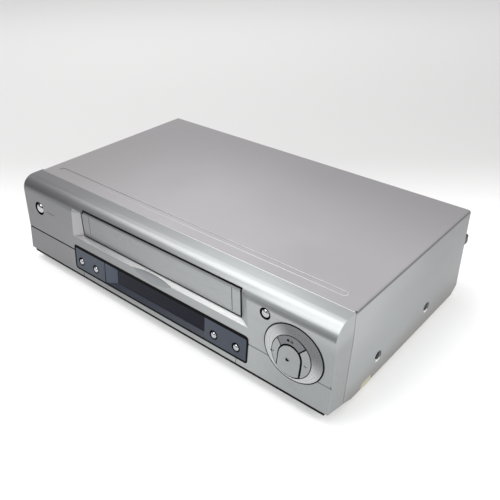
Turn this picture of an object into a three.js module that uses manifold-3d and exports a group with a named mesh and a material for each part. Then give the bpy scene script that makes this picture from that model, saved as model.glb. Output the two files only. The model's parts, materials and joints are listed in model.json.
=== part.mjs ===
// A video cassette recorder: silver case, front-loading flap, round control dish and its tape mechanism.
// Millimetres. X runs to the right seen from the front, Y to the back, Z up from the table.
// Heights count from the table, depths from the foremost edge of the front moulding.

import * as THREE from "three";
import { ConvexGeometry } from "three/addons/geometries/ConvexGeometry.js";
import { mergeVertices } from "three/addons/utils/BufferGeometryUtils.js";
import Module from "manifold-3d";

// Whole case
const WIDTH = 380;
const HEIGHT = 92.4;
const CASE_DEPTH = 223.7;
const REAR_REACH = 12.3;
const REST_GAP = 0.3;
const CUT_PAST = 6;

// Front moulding: the side outline leans back in two steps and ends in a round brow
const FRONT_WALL = 2.4;
const FACE_FOOT_Z = 12.3;
const GROOVE_Z = 37.1;
const GROOVE_BACK = 2.4;
const GROOVE_DEPTH = 0.9;
const GROOVE_WIDTH = 1.5;
const BROW_BACK = 4;
const BROW_RADIUS = 13.4;
const SEAM_TOP_Y = 27.5;
const SEAM_BEND_DROP = 22.4;
const SEAM_FOOT_Y = 21;
const SEAM_FOOT_Z = 7.6;
const SEAM_GAP = 0.6;

// Tape door and the recess round it
const MECH_X = -1.5;
const FLAP_TO_SIDE = 89.8;
const FLAP_DROP = 11.1;
const FLAP_FOOT_Z = 55.1;
const FLAP_THICK = 2.2;
const FLAP_SET_BACK = 5.2;
const FLAP_GAP = 0.9;
const FLAP_AXIS_BACK = 3.7;
const FLAP_AXIS_UP = 2.9;
const FLAP_PIN_RADIUS = 1.2;
const FLAP_EAR_RADIUS = 2.4;
const FLAP_EAR_WIDTH = 2;
const HINGE_LUG_WIDTH = 2.6;
const HINGE_LUG_RADIUS = 3;
const RECESS_SIDE = 10.3;
const RECESS_FOOT_Z = 52.8;
const RECESS_DROP = 8.4;
const COLLAR_DROP = 6.3;
const COLLAR_WALL = 2.2;
const SCOOP_X = -1.05;
const SCOOP_RADIUS = 131;
const SCOOP_LENGTH = 40;
const SCOOP_TOP_BACK = 7;
const SCOOP_TOP_Z = 55.3;
const SCOOP_FOOT_BACK = 2.4;
const SCOOP_FOOT_Z = 45.3;
const SPRING_WIRE = 0.35;
const SPRING_RADIUS = 1.95;
const SPRING_PITCH = 0.9;
const SPRING_LEG = 2.2;
const SPRING_TURNS = 2.5;
const SPRING_SPACE = 2.7;
const SPRING_LEG_SHARE = 0.16;

// Display panel with its window and four small buttons
const PANEL_TO_LEFT_SIDE = 76.9;
const PANEL_TO_RIGHT_SIDE = 79.5;
const PANEL_FOOT_Z = 17.5;
const PANEL_HEIGHT = 26;
const PANEL_THICK = 5;
const PANEL_CORNER = 3;
const PANEL_GAP = 0.5;
const WINDOW_FROM_LEFT = 45.8;
const WINDOW_FROM_RIGHT = 47.3;
const WINDOW_LEFT_BEVEL = 15;
const WINDOW_RIGHT_BEVEL = 1.7;
const WINDOW_FOOT = 1.2;
const WINDOW_FOOT_BEVEL = 4.1;
const WINDOW_TOP = 25.4;
const WINDOW_DEEP = 3;
const LENS_THICK = 1.6;
const LEFT_BUTTONS_IN = [9.5, 31.5];
const RIGHT_BUTTONS_IN = [36.9, 12.2];
const SMALL_BUTTON_UP = 10.2;
const SMALL_BUTTON_RADIUS = 3.1;
const SMALL_HOLE_RADIUS = 4.3;

// Dished control with four keys
const DISH_TO_SIDE = 35.4;
const DISH_FOOT_Z = 26.5;
const DISH_DROP = 15.9;
const DISH_HALF_WIDTH = 27.3;
const DISH_GAP = 0.5;
const DISH_DEPTH = 2.6;
const DISH_THICK = 2.4;
const DISH_FLANGE = 1.6;
const DISH_FLANGE_BACK = 3;
const KEY_RING_FROM_LEFT = 6.1;
const KEY_RING_FROM_RIGHT = 11.3;
const KEY_RING_FROM_FOOT = 1.2;
const KEY_RING_FROM_TOP = 11.6;
const KEY_GAP = 0.7;
const KEY_RISE = 0.3;
const PLAY_ARCH_SHARES = [-0.081, -0.081];
const PLAY_SIZE_SHARE = 0.575;
const LEFT_SEAM_SHARES = { outer: [-0.796, 0.715], inner: [-0.565, 0.301] };
const RIGHT_SEAM_SHARES = { outer: [0.726, 0.737], inner: [0.376, 0.349] };
const SEAM_REACH_SHARE = 0.8;
const STEM_RADIUS = 1.6;
const STEM_LENGTH = 4;
const STOP_STEM_SHARES = [-0.081, 0.774];
const REWIND_STEM_SHARES = [-0.817, 0];
const FORWARD_STEM_SHARES = [0.742, 0];
const PLAY_STEM_SHARES = [-0.081, -0.204];

// Round buttons straight in the front moulding
const POWER_TO_SIDE = 23.5;
const POWER_DROP = 27.6;
const POWER_RADIUS = 6.5;
const EJECT_TO_SIDE = 63.5;
const EJECT_DROP = 17.8;
const EJECT_RADIUS = 4.6;
const BUTTON_RISE = 1;
const DOME_SHARES = [[0, 1], [0.5, 0.8], [0.86, 0.3]];
const BUTTON_RIM = 0.5;
const BUTTON_GAP = 0.6;
const BUTTON_FLANGE = 1.1;
const BUTTON_FLANGE_THICK = 1;
const BUTTON_TRAVEL = 1;

// Steel cover: top and both sides in one folded sheet
const SHEET = 1;
const BEND_RADIUS = 2.4;
const COVER_FOOT_Z = 3.5;
const COVER_TOE_Y = 34;
const COVER_HEEL = 9.7;
const COVER_HEEL_RISE = 6.5;
const NOTCH_FRONT_Y = 46;
const NOTCH_BACK_Y = 64;
const NOTCH_RISE = 4.6;
const NOTCH_SLANT = 3.5;
const RIB_TO_SIDE = 15;
const RIB_Y = 42.3;
const RIB_HALF_WIDTH = 2.8;
const RIB_DEPTH = 0.4;
const SIDE_SCREW_YS = [72, 156.6];
const SIDE_SCREW_Z = 21.7;
const DIMPLE_FLOOR_RADIUS = 3.5;
const DIMPLE_DEPTH = 1.7;
const DIMPLE_WALL = 1;
const SCREW_HEAD_RADIUS = 3;
const SCREW_HEAD_THICK = 1.3;
const SCREW_SHANK_RADIUS = 1.5;
const SCREW_LENGTH = 7;
const SCREW_SLOT_WIDTH = 0.8;
const SCREW_SLOT_DEPTH = 0.7;
const SCREW_SLOT_REACH = 2.1;
const SCREW_HOLE_GAP = 0.4;

// Moulded chassis tray and feet
const FOOT_HEIGHT = 4;
const FOOT_RADIUS = 8;
const FOOT_TOP_RADIUS = 6.5;
const FOOT_TO_SIDE = 40;
const FOOT_FRONT_Y = 46;
const FOOT_TO_REAR = 27.7;
const FLOOR_THICK = 2;
const CHASSIS_WALL = 2;
const CHASSIS_WALL_HEIGHT = 28;
const CHASSIS_FRONT_Y = 24;
const CHASSIS_FRONT_HEIGHT = 9;
const SCREW_BOSS_RADIUS = 4.2;
const SCREW_BOSS_LENGTH = 7;
const DECK_POST_RADIUS = 4;
const DECK_POST_INSET = 16;
const DECK_POST_FRONT_INSET = 8;
const DECK_POST_REAR_INSET = 14;
const BOARD_POST_RADIUS = 3;
const BOARD_POST_TO_SIDE = 18;
const BOARD_POST_INSET = 12;
const VENT_COUNT = 7;
const VENT_PITCH = 9;
const VENT_WIDTH = 4;
const VENT_LENGTH = 46;
const VENT_TO_SIDE = 42;
const VENT_Y = 130;

// Boards behind the front
const FRONT_BOARD_Y = 15.5;
const FRONT_BOARD_THICK = 1.6;
const FRONT_BOARD_FOOT_Z = 15;
const FRONT_BOARD_LOW_TOP_Z = 46;
const FRONT_BOARD_DROP = 12.4;
const FRONT_BOARD_SIDE = 3;
const BOARD_BOSS_RADIUS = 3;
const BOARD_BOSS_TO_SIDE = 14;
const BOARD_BOSS_LOW_Z = 20;
const BOARD_BOSS_HIGH_Z = 60;
const BOARD_BOSS_GAP = 1.8;
const SWITCH_HALF = 3;
const SWITCH_THICK = 2;
const SWITCH_GAP = 0.4;
const TUBE_INSET = 2.5;
const TUBE_FOOT_Z = 20;
const TUBE_TOP_Z = 42;
const TUBE_THICK = 5.5;

// Main board and what stands on it
const MAIN_BOARD_Z = 12;
const BOARD_THICK = 1.6;
const MAIN_BOARD_SIDE = 2;
const MAIN_BOARD_FRONT_Y = 34;
const MAIN_BOARD_TO_REAR = 9.7;
const MAIN_BOARD_SLOT = 5;
const CHIP_HALF = 11;
const CHIP_THICK = 2.6;
const CHIP_TO_SIDE = 60;
const CHIP_Y = 92;
const CAN_RADIUS = 6;
const CAN_HEIGHT = 20;
const CAN_TO_SIDE = 40;
const CAN_YS = [126, 144, 162];
const MAINS_CAN_RADIUS = 11;
const MAINS_CAN_HEIGHT = 30;
const MAINS_CAN_TO_SIDE = 26;
const MAINS_CAN_Y = 62;
const TRANSFORMER_GAP = 2.5;
const TRANSFORMER_Y = 136;
const CORE_HALF_WIDTH = 21;
const CORE_HALF_DEPTH = 8;
const CORE_HEIGHT = 34;
const COIL_HALF_WIDTH = 13;
const COIL_HALF_DEPTH = 16;
const COIL_HEIGHT = 26;
const COIL_UP = 4;
const SINK_TO_SIDE = 25;
const SINK_Y = 84;
const SINK_HALF_WIDTH = 15;
const SINK_HEIGHT = 38;
const SINK_PLATE = 2;
const SINK_FIN = 10;
const SINK_FIN_COUNT = 5;

// Rear panel and sockets
const REAR_PANEL_THICK = 2.2;
const REAR_PANEL_IN = 1.2;
const AERIAL_TO_SIDE = 4.5;
const AERIAL_WIDTH = 35.5;
const AERIAL_FOOT_Z = 45;
const AERIAL_TOP_Z = 61;
const AERIAL_INSIDE = 34;
const COAX_BORE_RADIUS = 3.9;
const COAX_PIN_RADIUS = 1.2;
const COAX_DEEP = 9;
const COAX_FROM_RIGHT = [31, 14];
const SCART_FROM_RIGHT = [144, 86];
const SCART_FOOT_Z = 15;
const SCART_HALF_WIDTH = 25;
const SCART_HEIGHT = 15;
const SCART_INSIDE = 18;
const SCART_REACH = 3.4;
const SCART_RIM = 1.6;
const SCART_TRENCH = 2;
const SCART_DEEP = 9;
const SCART_STEP = 5;
const AUDIO_TO_SIDE = 212;
const AUDIO_PITCH = 15;
const AUDIO_HALF_WIDTH = 16;
const AUDIO_HEIGHT = 15;
const AUDIO_INSIDE = 14;
const AUDIO_REACH = 9;
const AUDIO_RADIUS = 4.1;
const AUDIO_COLLAR_RADIUS = 5.4;
const AUDIO_COLLAR_REACH = 2;
const AUDIO_BORE_RADIUS = 1.7;
const INLET_TO_SIDE = 40;
const INLET_HALF_WIDTH = 12;
const INLET_HEIGHT = 15;
const INLET_INSIDE = 18;
const INLET_REACH = 2.5;
const INLET_MOUTH_HALF_WIDTH = 8.3;
const INLET_MOUTH_RADIUS = 4.2;
const INLET_DEEP = 14;
const INLET_PIN_RADIUS = 1.2;
const INLET_PIN_APART = 8.6;
const INLET_PIN_LENGTH = 10;

// Mechanism deck
const DECK_Z = 30;
const DECK_SHEET = 1.2;
const DECK_MARGIN = 0.2;
const DECK_FRONT_Y = 30;
const DECK_TO_REAR = 19.7;
const CASSETTE_HALF_WIDTH = 94;
const CASSETTE_FLOOR_Z = 54.1;
const CASSETTE_PLAY = 1;
const TRAY_SHEET = 1;
const TRAY_LEDGE = 20;
const TRAY_LEDGE_REAR_Y = 69;
const TRAY_FRONT_Y = 43;
const TRAY_REAR_Y = 86;
const TRAY_TOP_DROP = 11.4;
const TRAY_DROP = 20;
const TRAY_TRAVEL = 40;
const FRAME_GAP = 0.6;
const FRAME_HEADROOM = 1.2;
const FRAME_SHEET = 1.2;
const FRAME_FOOT_RIM = 4.1;
const FRAME_FRONT_Y = 46;
const FRAME_REAR_Y = 84;
const FRAME_BRIDGE_FRONT_Y = 60;
const BRACKET_GAP = 0.8;
const BRACKET_SHEET = 1.2;
const BRACKET_FLANGE = 8;
const BRACKET_FRONT_Y = 43;
const BRACKET_REAR_Y = 134;
const BRACKET_TOP_DROP = 6.4;
const GUIDE_PIN_RADIUS = 1.5;
const PIN_PLAY = 0.4;
const FRAME_PIN_UP = 7;
const FRAME_PIN_YS = [52, 78];
const TRAY_PIN_DOWN = 5;
const TRAY_PIN_Y = 65;
const REEL_HALF_PITCH = 46;
const REEL_Y = 71;
const REEL_DISC_RADIUS = 16;
const REEL_DISC_THICK = 2;
const REEL_SPINDLE_RADIUS = 7;
const REEL_SPINDLE_TOP_Z = 50;
const REEL_SPLINE = 1.5;
const REEL_SPLINE_COUNT = 3;
const DRUM_Y = 166;
const DRUM_TILT = 5;
const DRUM_RADIUS = 31;
const DRUM_BASE_RADIUS = 22;
const DRUM_BASE_HEIGHT = 6;
const LOWER_DRUM_FOOT = 3.5;
const LOWER_DRUM_TOP = 15;
const UPPER_DRUM_TOP = 27;
const UPPER_DRUM_GAP = 0.4;
const DRUM_CAP_RADIUS = 14;
const DRUM_CAP_HEIGHT = 4;
const DRUM_CHAMFER = 1.5;
const CAPSTAN_INSET = 26.5;
const CAPSTAN_Y = 131;
const CAPSTAN_RADIUS = 2;
const CAPSTAN_TOP_Z = 56;
const CAPSTAN_HOLE_RADIUS = 3;
const STATOR_RADIUS = 27;
const STATOR_THICK = 1.8;
const FLYWHEEL_RADIUS = 26;
const FLYWHEEL_THICK = 6;
const CAPSTAN_PULLEY_RADIUS = 9;
const PULLEY_THICK = 4;
const CLUTCH_Y = 98;
const CLUTCH_RADIUS = 14;
const CLUTCH_AXLE_RADIUS = 2;
const CLUTCH_GEAR_RADIUS = 9;
const CLUTCH_GEAR_THICK = 3;
const BELT_THICK = 1;
const BELT_WIDTH = 2.4;
const PINCH_PIVOT_ASIDE = 22;
const PINCH_PIVOT_BEHIND = 9;
const PINCH_BOSS_RADIUS = 4;
const PINCH_ARM_HALF_WIDTH = 3;
const PINCH_ARM_THICK = 2;
const PINCH_AXLE_RADIUS = 1.2;
const PINCH_ROLLER_RADIUS = 5.5;
const PINCH_ROLLER_HEIGHT = 14;
const PINCH_SWING = 25;
const PINCH_PRESS_GAP = 0.4;
const CAM_X = -70;
const CAM_Y = 160;
const CAM_RADIUS = 20;
const CAM_TOOTH = 1.2;
const CAM_TEETH = 30;
const CAM_TOOTH_SHARES = [[0, 1], [0.3, 1], [0.45, 0], [0.85, 0]];
const CAM_FOOT_Z = 39;
const CAM_THICK = 4;
const CAM_HUB_RADIUS = 6;
const CAM_BOSS_RADIUS = 3;
const WORM_RADIUS = 4;
const WORM_LENGTH = 18;
const WORM_SHAFT_RADIUS = 1;
const MOTOR_RADIUS = 9;
const MOTOR_LENGTH = 28;
const MOTOR_GAP = 6;
const MOTOR_FOOT_HALF = 7;
const GUIDE_START_X = 30;
const GUIDE_START_Y = 118;
const GUIDE_END_X = 40;
const GUIDE_END_Y = 165;
const GUIDE_BASE_HALF = 6;
const GUIDE_BASE_HEIGHT = 3.5;
const GUIDE_ROLLER_RADIUS = 2.8;
const GUIDE_TOP_Z = 52;
const GUIDE_TAIL_LENGTH = 4;
const HEAD_FOOT_HALF = 6;
const HEAD_FOOT_HEIGHT = 4;
const HEAD_TOP_Z = 51;
const ERASE_HEAD_X = -60;
const ERASE_HEAD_Y = 130;
const ERASE_HEAD_HALF = 3.5;
const AUDIO_HEAD_X = 52;
const AUDIO_HEAD_Y = 152;
const AUDIO_HEAD_HALF = 4.5;

// Steps round a circle
const SMALL_SIDES = 10;
const ROUND_SIDES = 16;
const WIDE_SIDES = 32;
const SCOOP_SIDES = 140;
const BROW_STEPS = 7;
const CORNER_STEPS = 4;
const BEND_STEPS = 3;
const DISH_STEPS = 5;
const SPRING_STEPS = 30;
const SPRING_SIDES = 5;

const wasm = await Module();
wasm.setup();

const model = new THREE.Group();
const inside = new THREE.Group();
inside.position.y = -(CASE_DEPTH + REAR_REACH) / 2;
model.add(inside);

// Looks of the pieces
const SILVER = { color: 0xb3b4b2, roughness: 0.42, metalness: 0.55 };
const COVER_GREY = { color: 0xa9a7a6, roughness: 0.45, metalness: 0.55 };
const PANEL_BLUE = { color: 0x56627a, roughness: 0.4, metalness: 0.35 };
const DARK_GLASS = { color: 0x15181d, roughness: 0.12, metalness: 0 };
const CHROME = { color: 0xd8dade, roughness: 0.12, metalness: 1 };
const CREAM = { color: 0xc9bf98, roughness: 0.6, metalness: 0 };
const BLACK = { color: 0x191919, roughness: 0.55, metalness: 0 };
const STEEL = { color: 0xb9bcc0, roughness: 0.35, metalness: 0.9 };
const BRASS = { color: 0xc3a55b, roughness: 0.35, metalness: 0.9 };
const BOARD_GREEN = { color: 0x2f5d3a, roughness: 0.6, metalness: 0 };
const WHITE_PLASTIC = { color: 0xe4e2da, roughness: 0.5, metalness: 0 };
const RUBBER = { color: 0x222222, roughness: 0.85, metalness: 0 };
const COPPER = { color: 0xb06a3c, roughness: 0.5, metalness: 0.6 };

// Solids from shapes. A prism's outline lies in the two axes that its own axis leaves, in order.
const PRISM_FRAMES = {
  x: [new THREE.Vector3(0, 1, 0), new THREE.Vector3(0, 0, 1), new THREE.Vector3(1, 0, 0)],
  y: [new THREE.Vector3(1, 0, 0), new THREE.Vector3(0, 0, 1), new THREE.Vector3(0, -1, 0)],
  z: [new THREE.Vector3(1, 0, 0), new THREE.Vector3(0, 1, 0), new THREE.Vector3(0, 0, 1)],
};

function prism(axis, shape, from, to) {
  const geometry = new THREE.ExtrudeGeometry(shape, { depth: to - from, bevelEnabled: false, steps: 1 });
  geometry.applyMatrix4(new THREE.Matrix4().makeBasis(...PRISM_FRAMES[axis]));
  const start = axis === "y" ? to : from;
  const shift = new THREE.Vector3();
  shift[axis] = start;
  return geometry.translate(shift.x, shift.y, shift.z);
}

function outline(points) {
  return new THREE.Shape(points.map(([u, v]) => new THREE.Vector2(u, v)));
}

function ring(u, v, radiusU, radiusV, sides) {
  const turn = (Math.PI * 2) / sides;
  const points = [];
  for (let i = 0; i < sides; i += 1) {
    points.push([u + radiusU * Math.cos(i * turn), v + radiusV * Math.sin(i * turn)]);
  }
  return outline(points);
}

function roundedBox(u0, u1, v0, v1, radius) {
  const points = [];
  const centres = [
    [u1 - radius, v0 + radius],
    [u1 - radius, v1 - radius],
    [u0 + radius, v1 - radius],
    [u0 + radius, v0 + radius],
  ];
  centres.forEach(([u, v], quarter) => {
    for (let i = 0; i <= CORNER_STEPS; i += 1) {
      const angle = (Math.PI / 2) * (quarter - 1 + i / CORNER_STEPS);
      points.push([u + radius * Math.cos(angle), v + radius * Math.sin(angle)]);
    }
  });
  return outline(points);
}

function block(x0, x1, y0, y1, z0, z1) {
  const geometry = new THREE.BoxGeometry(x1 - x0, y1 - y0, z1 - z0);
  return geometry.translate((x0 + x1) / 2, (y0 + y1) / 2, (z0 + z1) / 2);
}

function rod(axis, u, v, radius, from, to, sides = ROUND_SIDES) {
  return prism(axis, ring(u, v, radius, radius, sides), from, to);
}

// A profile of [radius, height] turned about the upright axis, starting and ending on it.
function turned(profile, sides = ROUND_SIDES) {
  const points = profile.map(([radius, height]) => new THREE.Vector2(radius, height));
  return new THREE.LatheGeometry(points, sides).rotateX(Math.PI / 2);
}

// The same, turned about the line that runs straight out of the front; the height counts inwards.
function turnedInwards(profile, sides = ROUND_SIDES) {
  return turned(profile, sides).rotateX(-Math.PI / 2);
}

function hull(corners) {
  return new ConvexGeometry(corners.map(([x, y, z]) => new THREE.Vector3(x, y, z)));
}

function solid(geometry) {
  const bare = geometry.clone();
  bare.deleteAttribute("normal");
  bare.deleteAttribute("uv");
  const merged = mergeVertices(bare);
  const points = merged.attributes.position;
  const corners = Array.from(merged.index.array);
  const triangles = [];
  let volume = 0;
  const [a, b, c] = [new THREE.Vector3(), new THREE.Vector3(), new THREE.Vector3()];
  for (let i = 0; i < corners.length; i += 3) {
    const [p, q, r] = corners.slice(i, i + 3);
    if (p === q || q === r || r === p) continue;
    triangles.push(p, q, r);
    volume += a.fromBufferAttribute(points, p).dot(
      b.fromBufferAttribute(points, q).cross(c.fromBufferAttribute(points, r)),
    );
  }
  if (volume < 0) triangles.reverse();
  return new wasm.Manifold(new wasm.Mesh({
    numProp: 3,
    vertProperties: Float32Array.from(points.array),
    triVerts: Uint32Array.from(triangles),
  }));
}

function join(first, ...others) {
  return others.reduce((whole, other) => whole.add(asSolid(other)), asSolid(first));
}

function cut(first, ...tools) {
  return tools.reduce((whole, tool) => whole.subtract(asSolid(tool)), asSolid(first));
}

function common(first, ...others) {
  return others.reduce((whole, other) => whole.intersect(asSolid(other)), asSolid(first));
}

function asSolid(shape) {
  return shape.isBufferGeometry ? solid(shape) : shape;
}

function surface(body) {
  const mesh = asSolid(body).getMesh();
  const geometry = new THREE.BufferGeometry();
  geometry.setAttribute("position", new THREE.BufferAttribute(mesh.vertProperties, 3));
  geometry.setIndex(new THREE.BufferAttribute(mesh.triVerts, 1));
  geometry.computeVertexNormals();
  return geometry;
}

function piece(name, body, look, placing = {}) {
  const mesh = new THREE.Mesh(surface(body), new THREE.MeshStandardMaterial(look));
  mesh.name = name;
  mesh.position.set(placing.x ?? 0, placing.y ?? 0, placing.z ?? 0);
  mesh.rotation.x = placing.tilt ?? 0;
  inside.add(mesh);
}

function placed(geometry, placing) {
  return geometry.clone().rotateX(placing.tilt).translate(placing.x, placing.y, placing.z);
}

// Places across and up the case, counted in from its sides and down from its top
const LEFT_X = -WIDTH / 2;
const RIGHT_X = WIDTH / 2;
const SEAM_BEND_Z = HEIGHT - SEAM_BEND_DROP;
const FLAP_WIDTH = WIDTH - 2 * FLAP_TO_SIDE;
const RECESS_TOP_Z = HEIGHT - RECESS_DROP;
const PANEL_LEFT_X = LEFT_X + PANEL_TO_LEFT_SIDE;
const PANEL_RIGHT_X = RIGHT_X - PANEL_TO_RIGHT_SIDE;
const WINDOW_LEFT_X = PANEL_LEFT_X + WINDOW_FROM_LEFT;
const WINDOW_RIGHT_X = PANEL_RIGHT_X - WINDOW_FROM_RIGHT;
const SMALL_BUTTON_XS = [
  ...LEFT_BUTTONS_IN.map((into) => PANEL_LEFT_X + into),
  ...RIGHT_BUTTONS_IN.map((into) => PANEL_RIGHT_X - into),
];
const DISH_X = RIGHT_X - DISH_TO_SIDE;
const DISH_Z = (HEIGHT - DISH_DROP + DISH_FOOT_Z) / 2;
const DISH_HALF_HEIGHT = (HEIGHT - DISH_DROP - DISH_FOOT_Z) / 2;
const KEY_RING_HALF_WIDTH = DISH_HALF_WIDTH - (KEY_RING_FROM_LEFT + KEY_RING_FROM_RIGHT) / 2;
const KEY_RING_HALF_HEIGHT = DISH_HALF_HEIGHT - (KEY_RING_FROM_TOP + KEY_RING_FROM_FOOT) / 2;
const KEY_RING_X = (KEY_RING_FROM_LEFT - KEY_RING_FROM_RIGHT) / 2;
const KEY_RING_Z = (KEY_RING_FROM_FOOT - KEY_RING_FROM_TOP) / 2;
const STOP_STEM = onKeyRing(STOP_STEM_SHARES);
const REWIND_STEM = onKeyRing(REWIND_STEM_SHARES);
const FORWARD_STEM = onKeyRing(FORWARD_STEM_SHARES);
const PLAY_STEM = onKeyRing(PLAY_STEM_SHARES);
const POWER_X = LEFT_X + POWER_TO_SIDE;
const POWER_Z = HEIGHT - POWER_DROP;
const EJECT_X = RIGHT_X - EJECT_TO_SIDE;
const EJECT_Z = HEIGHT - EJECT_DROP;
const AERIAL_RIGHT_X = RIGHT_X - AERIAL_TO_SIDE;
const AERIAL_LEFT_X = AERIAL_RIGHT_X - AERIAL_WIDTH;
const COAX_XS = COAX_FROM_RIGHT.map((into) => RIGHT_X - into);
const SCART_XS = SCART_FROM_RIGHT.map((into) => RIGHT_X - into);
const AUDIO_X = RIGHT_X - AUDIO_TO_SIDE;
const INLET_X = LEFT_X + INLET_TO_SIDE;

function onKeyRing([across, up]) {
  return [KEY_RING_X + KEY_RING_HALF_WIDTH * across, KEY_RING_Z + KEY_RING_HALF_HEIGHT * up];
}

// Front face: how far it stands back at a height, and how it leans between two heights
const BROW_Z = HEIGHT - BROW_RADIUS;

function faceY(z) {
  const lower = GROOVE_BACK * ((z - FACE_FOOT_Z) / (GROOVE_Z - FACE_FOOT_Z));
  const upper = GROOVE_BACK + (BROW_BACK - GROOVE_BACK) * ((z - GROOVE_Z) / (BROW_Z - GROOVE_Z));
  return z < GROOVE_Z ? lower : upper;
}

function leanBetween(lowZ, highZ) {
  return -Math.atan2(faceY(highZ) - faceY(lowZ), highZ - lowZ);
}

function onFace(x, z, half) {
  return { x, y: faceY(z), z, tilt: leanBetween(z - half, z + half) };
}

const PANEL_PLACE = {
  x: 0,
  y: faceY(PANEL_FOOT_Z),
  z: PANEL_FOOT_Z,
  tilt: leanBetween(PANEL_FOOT_Z, PANEL_FOOT_Z + PANEL_HEIGHT),
};
const POWER_PLACE = onFace(POWER_X, POWER_Z, POWER_RADIUS);
const EJECT_PLACE = onFace(EJECT_X, EJECT_Z, EJECT_RADIUS / 2);
const DISH_PLACE = {
  x: DISH_X,
  y: (faceY(DISH_Z - DISH_HALF_HEIGHT) + faceY(DISH_Z + DISH_HALF_HEIGHT)) / 2,
  z: DISH_Z,
  tilt: leanBetween(DISH_Z - DISH_HALF_HEIGHT, DISH_Z + DISH_HALF_HEIGHT),
};

// Places that several pieces share
const COVER_INNER_HALF = WIDTH / 2 - SHEET;
const FLAP_Y = faceY(FLAP_FOOT_Z) + FLAP_SET_BACK;
const FLAP_TOP_Z = HEIGHT - FLAP_DROP;
const FLAP_AXIS_Y = FLAP_Y + FLAP_AXIS_BACK;
const FLAP_AXIS_Z = FLAP_TOP_Z + FLAP_AXIS_UP;
const COLLAR_BACK_Y = FLAP_Y + FLAP_THICK / 2;
const FLOOR_Z = FOOT_HEIGHT + REST_GAP;
const FLOOR_TOP_Z = FLOOR_Z + FLOOR_THICK;
const CHASSIS_HALF = COVER_INNER_HALF - REST_GAP;
const DECK_TOP_Z = DECK_Z + DECK_SHEET;
const SEAT_Z = DECK_TOP_Z + REST_GAP;
const REAR_PANEL_Y = CASE_DEPTH - REAR_PANEL_IN - REAR_PANEL_THICK;
const REAR_FACE_Y = REAR_PANEL_Y + REAR_PANEL_THICK;
const MAIN_BOARD_TOP_Z = MAIN_BOARD_Z + BOARD_THICK;
const ON_BOARD_Z = MAIN_BOARD_TOP_Z + REST_GAP;
const MAIN_BOARD_REAR_Y = CASE_DEPTH - MAIN_BOARD_TO_REAR;

// Widths of the mechanism, from the cassette outwards
const TRAY_INNER_HALF = CASSETTE_HALF_WIDTH + CASSETTE_PLAY;
const TRAY_OUTER_HALF = TRAY_INNER_HALF + TRAY_SHEET;
const FRAME_INNER_HALF = TRAY_OUTER_HALF + FRAME_GAP;
const FRAME_OUTER_HALF = FRAME_INNER_HALF + FRAME_SHEET;
const BRACKET_INNER_HALF = FRAME_OUTER_HALF + BRACKET_GAP;
const BRACKET_OUTER_HALF = BRACKET_INNER_HALF + BRACKET_SHEET;
const DECK_HALF_WIDTH = BRACKET_OUTER_HALF + BRACKET_FLANGE + DECK_MARGIN;
const DECK_REAR_Y = CASE_DEPTH - DECK_TO_REAR;
const DECK_POST_X = DECK_HALF_WIDTH - DECK_POST_INSET;
const DECK_POST_YS = [DECK_FRONT_Y + DECK_POST_FRONT_INSET, DECK_REAR_Y - DECK_POST_REAR_INSET];
const CAPSTAN_X = MECH_X + CASSETTE_HALF_WIDTH - CAPSTAN_INSET;

// Front moulding
function frontOutline(wall) {
  const radius = BROW_RADIUS - wall;
  const centreY = BROW_BACK + BROW_RADIUS;
  const points = [
    [wall, footZ(wall) + wall],
    [GROOVE_BACK + wall, GROOVE_Z],
  ];
  for (let i = 0; i <= BROW_STEPS; i += 1) {
    const angle = Math.PI - (Math.PI / 2) * (i / BROW_STEPS);
    points.push([centreY + radius * Math.cos(angle), BROW_Z + radius * Math.sin(angle)]);
  }
  if (wall > 0) {
    const past = SEAM_TOP_Y + CUT_PAST;
    points.push([past, HEIGHT - wall]);
    points.push([past, footZ(past) + wall]);
  } else {
    points.push([SEAM_TOP_Y, HEIGHT]);
    points.push([SEAM_TOP_Y, SEAM_BEND_Z]);
    points.push([SEAM_FOOT_Y, SEAM_FOOT_Z]);
  }
  return outline(points);
}

function footZ(y) {
  return FACE_FOOT_Z - (FACE_FOOT_Z - SEAM_FOOT_Z) * (y / SEAM_FOOT_Y);
}

function recessCut() {
  const left = MECH_X - FLAP_WIDTH / 2 - FLAP_GAP;
  const right = MECH_X + FLAP_WIDTH / 2 + FLAP_GAP;
  const low = FLAP_FOOT_Z - FLAP_GAP;
  const high = FLAP_TOP_Z + FLAP_GAP;
  const frontY = faceY(FLAP_FOOT_Z);
  const corners = [];
  for (const y of [frontY - CUT_PAST, frontY]) {
    for (const x of [left - RECESS_SIDE, right + RECESS_SIDE]) {
      corners.push([x, y, RECESS_FOOT_Z], [x, y, RECESS_TOP_Z]);
    }
  }
  for (const x of [left, right]) {
    corners.push([x, FLAP_Y, low], [x, FLAP_Y, high]);
  }
  return join(hull(corners), block(left, right, FLAP_Y - FLAP_GAP, FLAP_Y + CUT_PAST, low, high));
}

function scoopCut() {
  const back = SCOOP_TOP_BACK - SCOOP_FOOT_BACK;
  const rise = SCOOP_TOP_Z - SCOOP_FOOT_Z;
  const along = Math.hypot(back, rise);
  const geometry = new THREE.CylinderGeometry(SCOOP_RADIUS, SCOOP_RADIUS, SCOOP_LENGTH, SCOOP_SIDES);
  geometry.rotateX(Math.PI / 2).rotateX(-Math.atan2(back, rise));
  const midY = (SCOOP_TOP_BACK + SCOOP_FOOT_BACK) / 2 - SCOOP_RADIUS * (rise / along);
  const midZ = (SCOOP_TOP_Z + SCOOP_FOOT_Z) / 2 + SCOOP_RADIUS * (back / along);
  return geometry.translate(SCOOP_X, midY, midZ);
}

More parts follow.
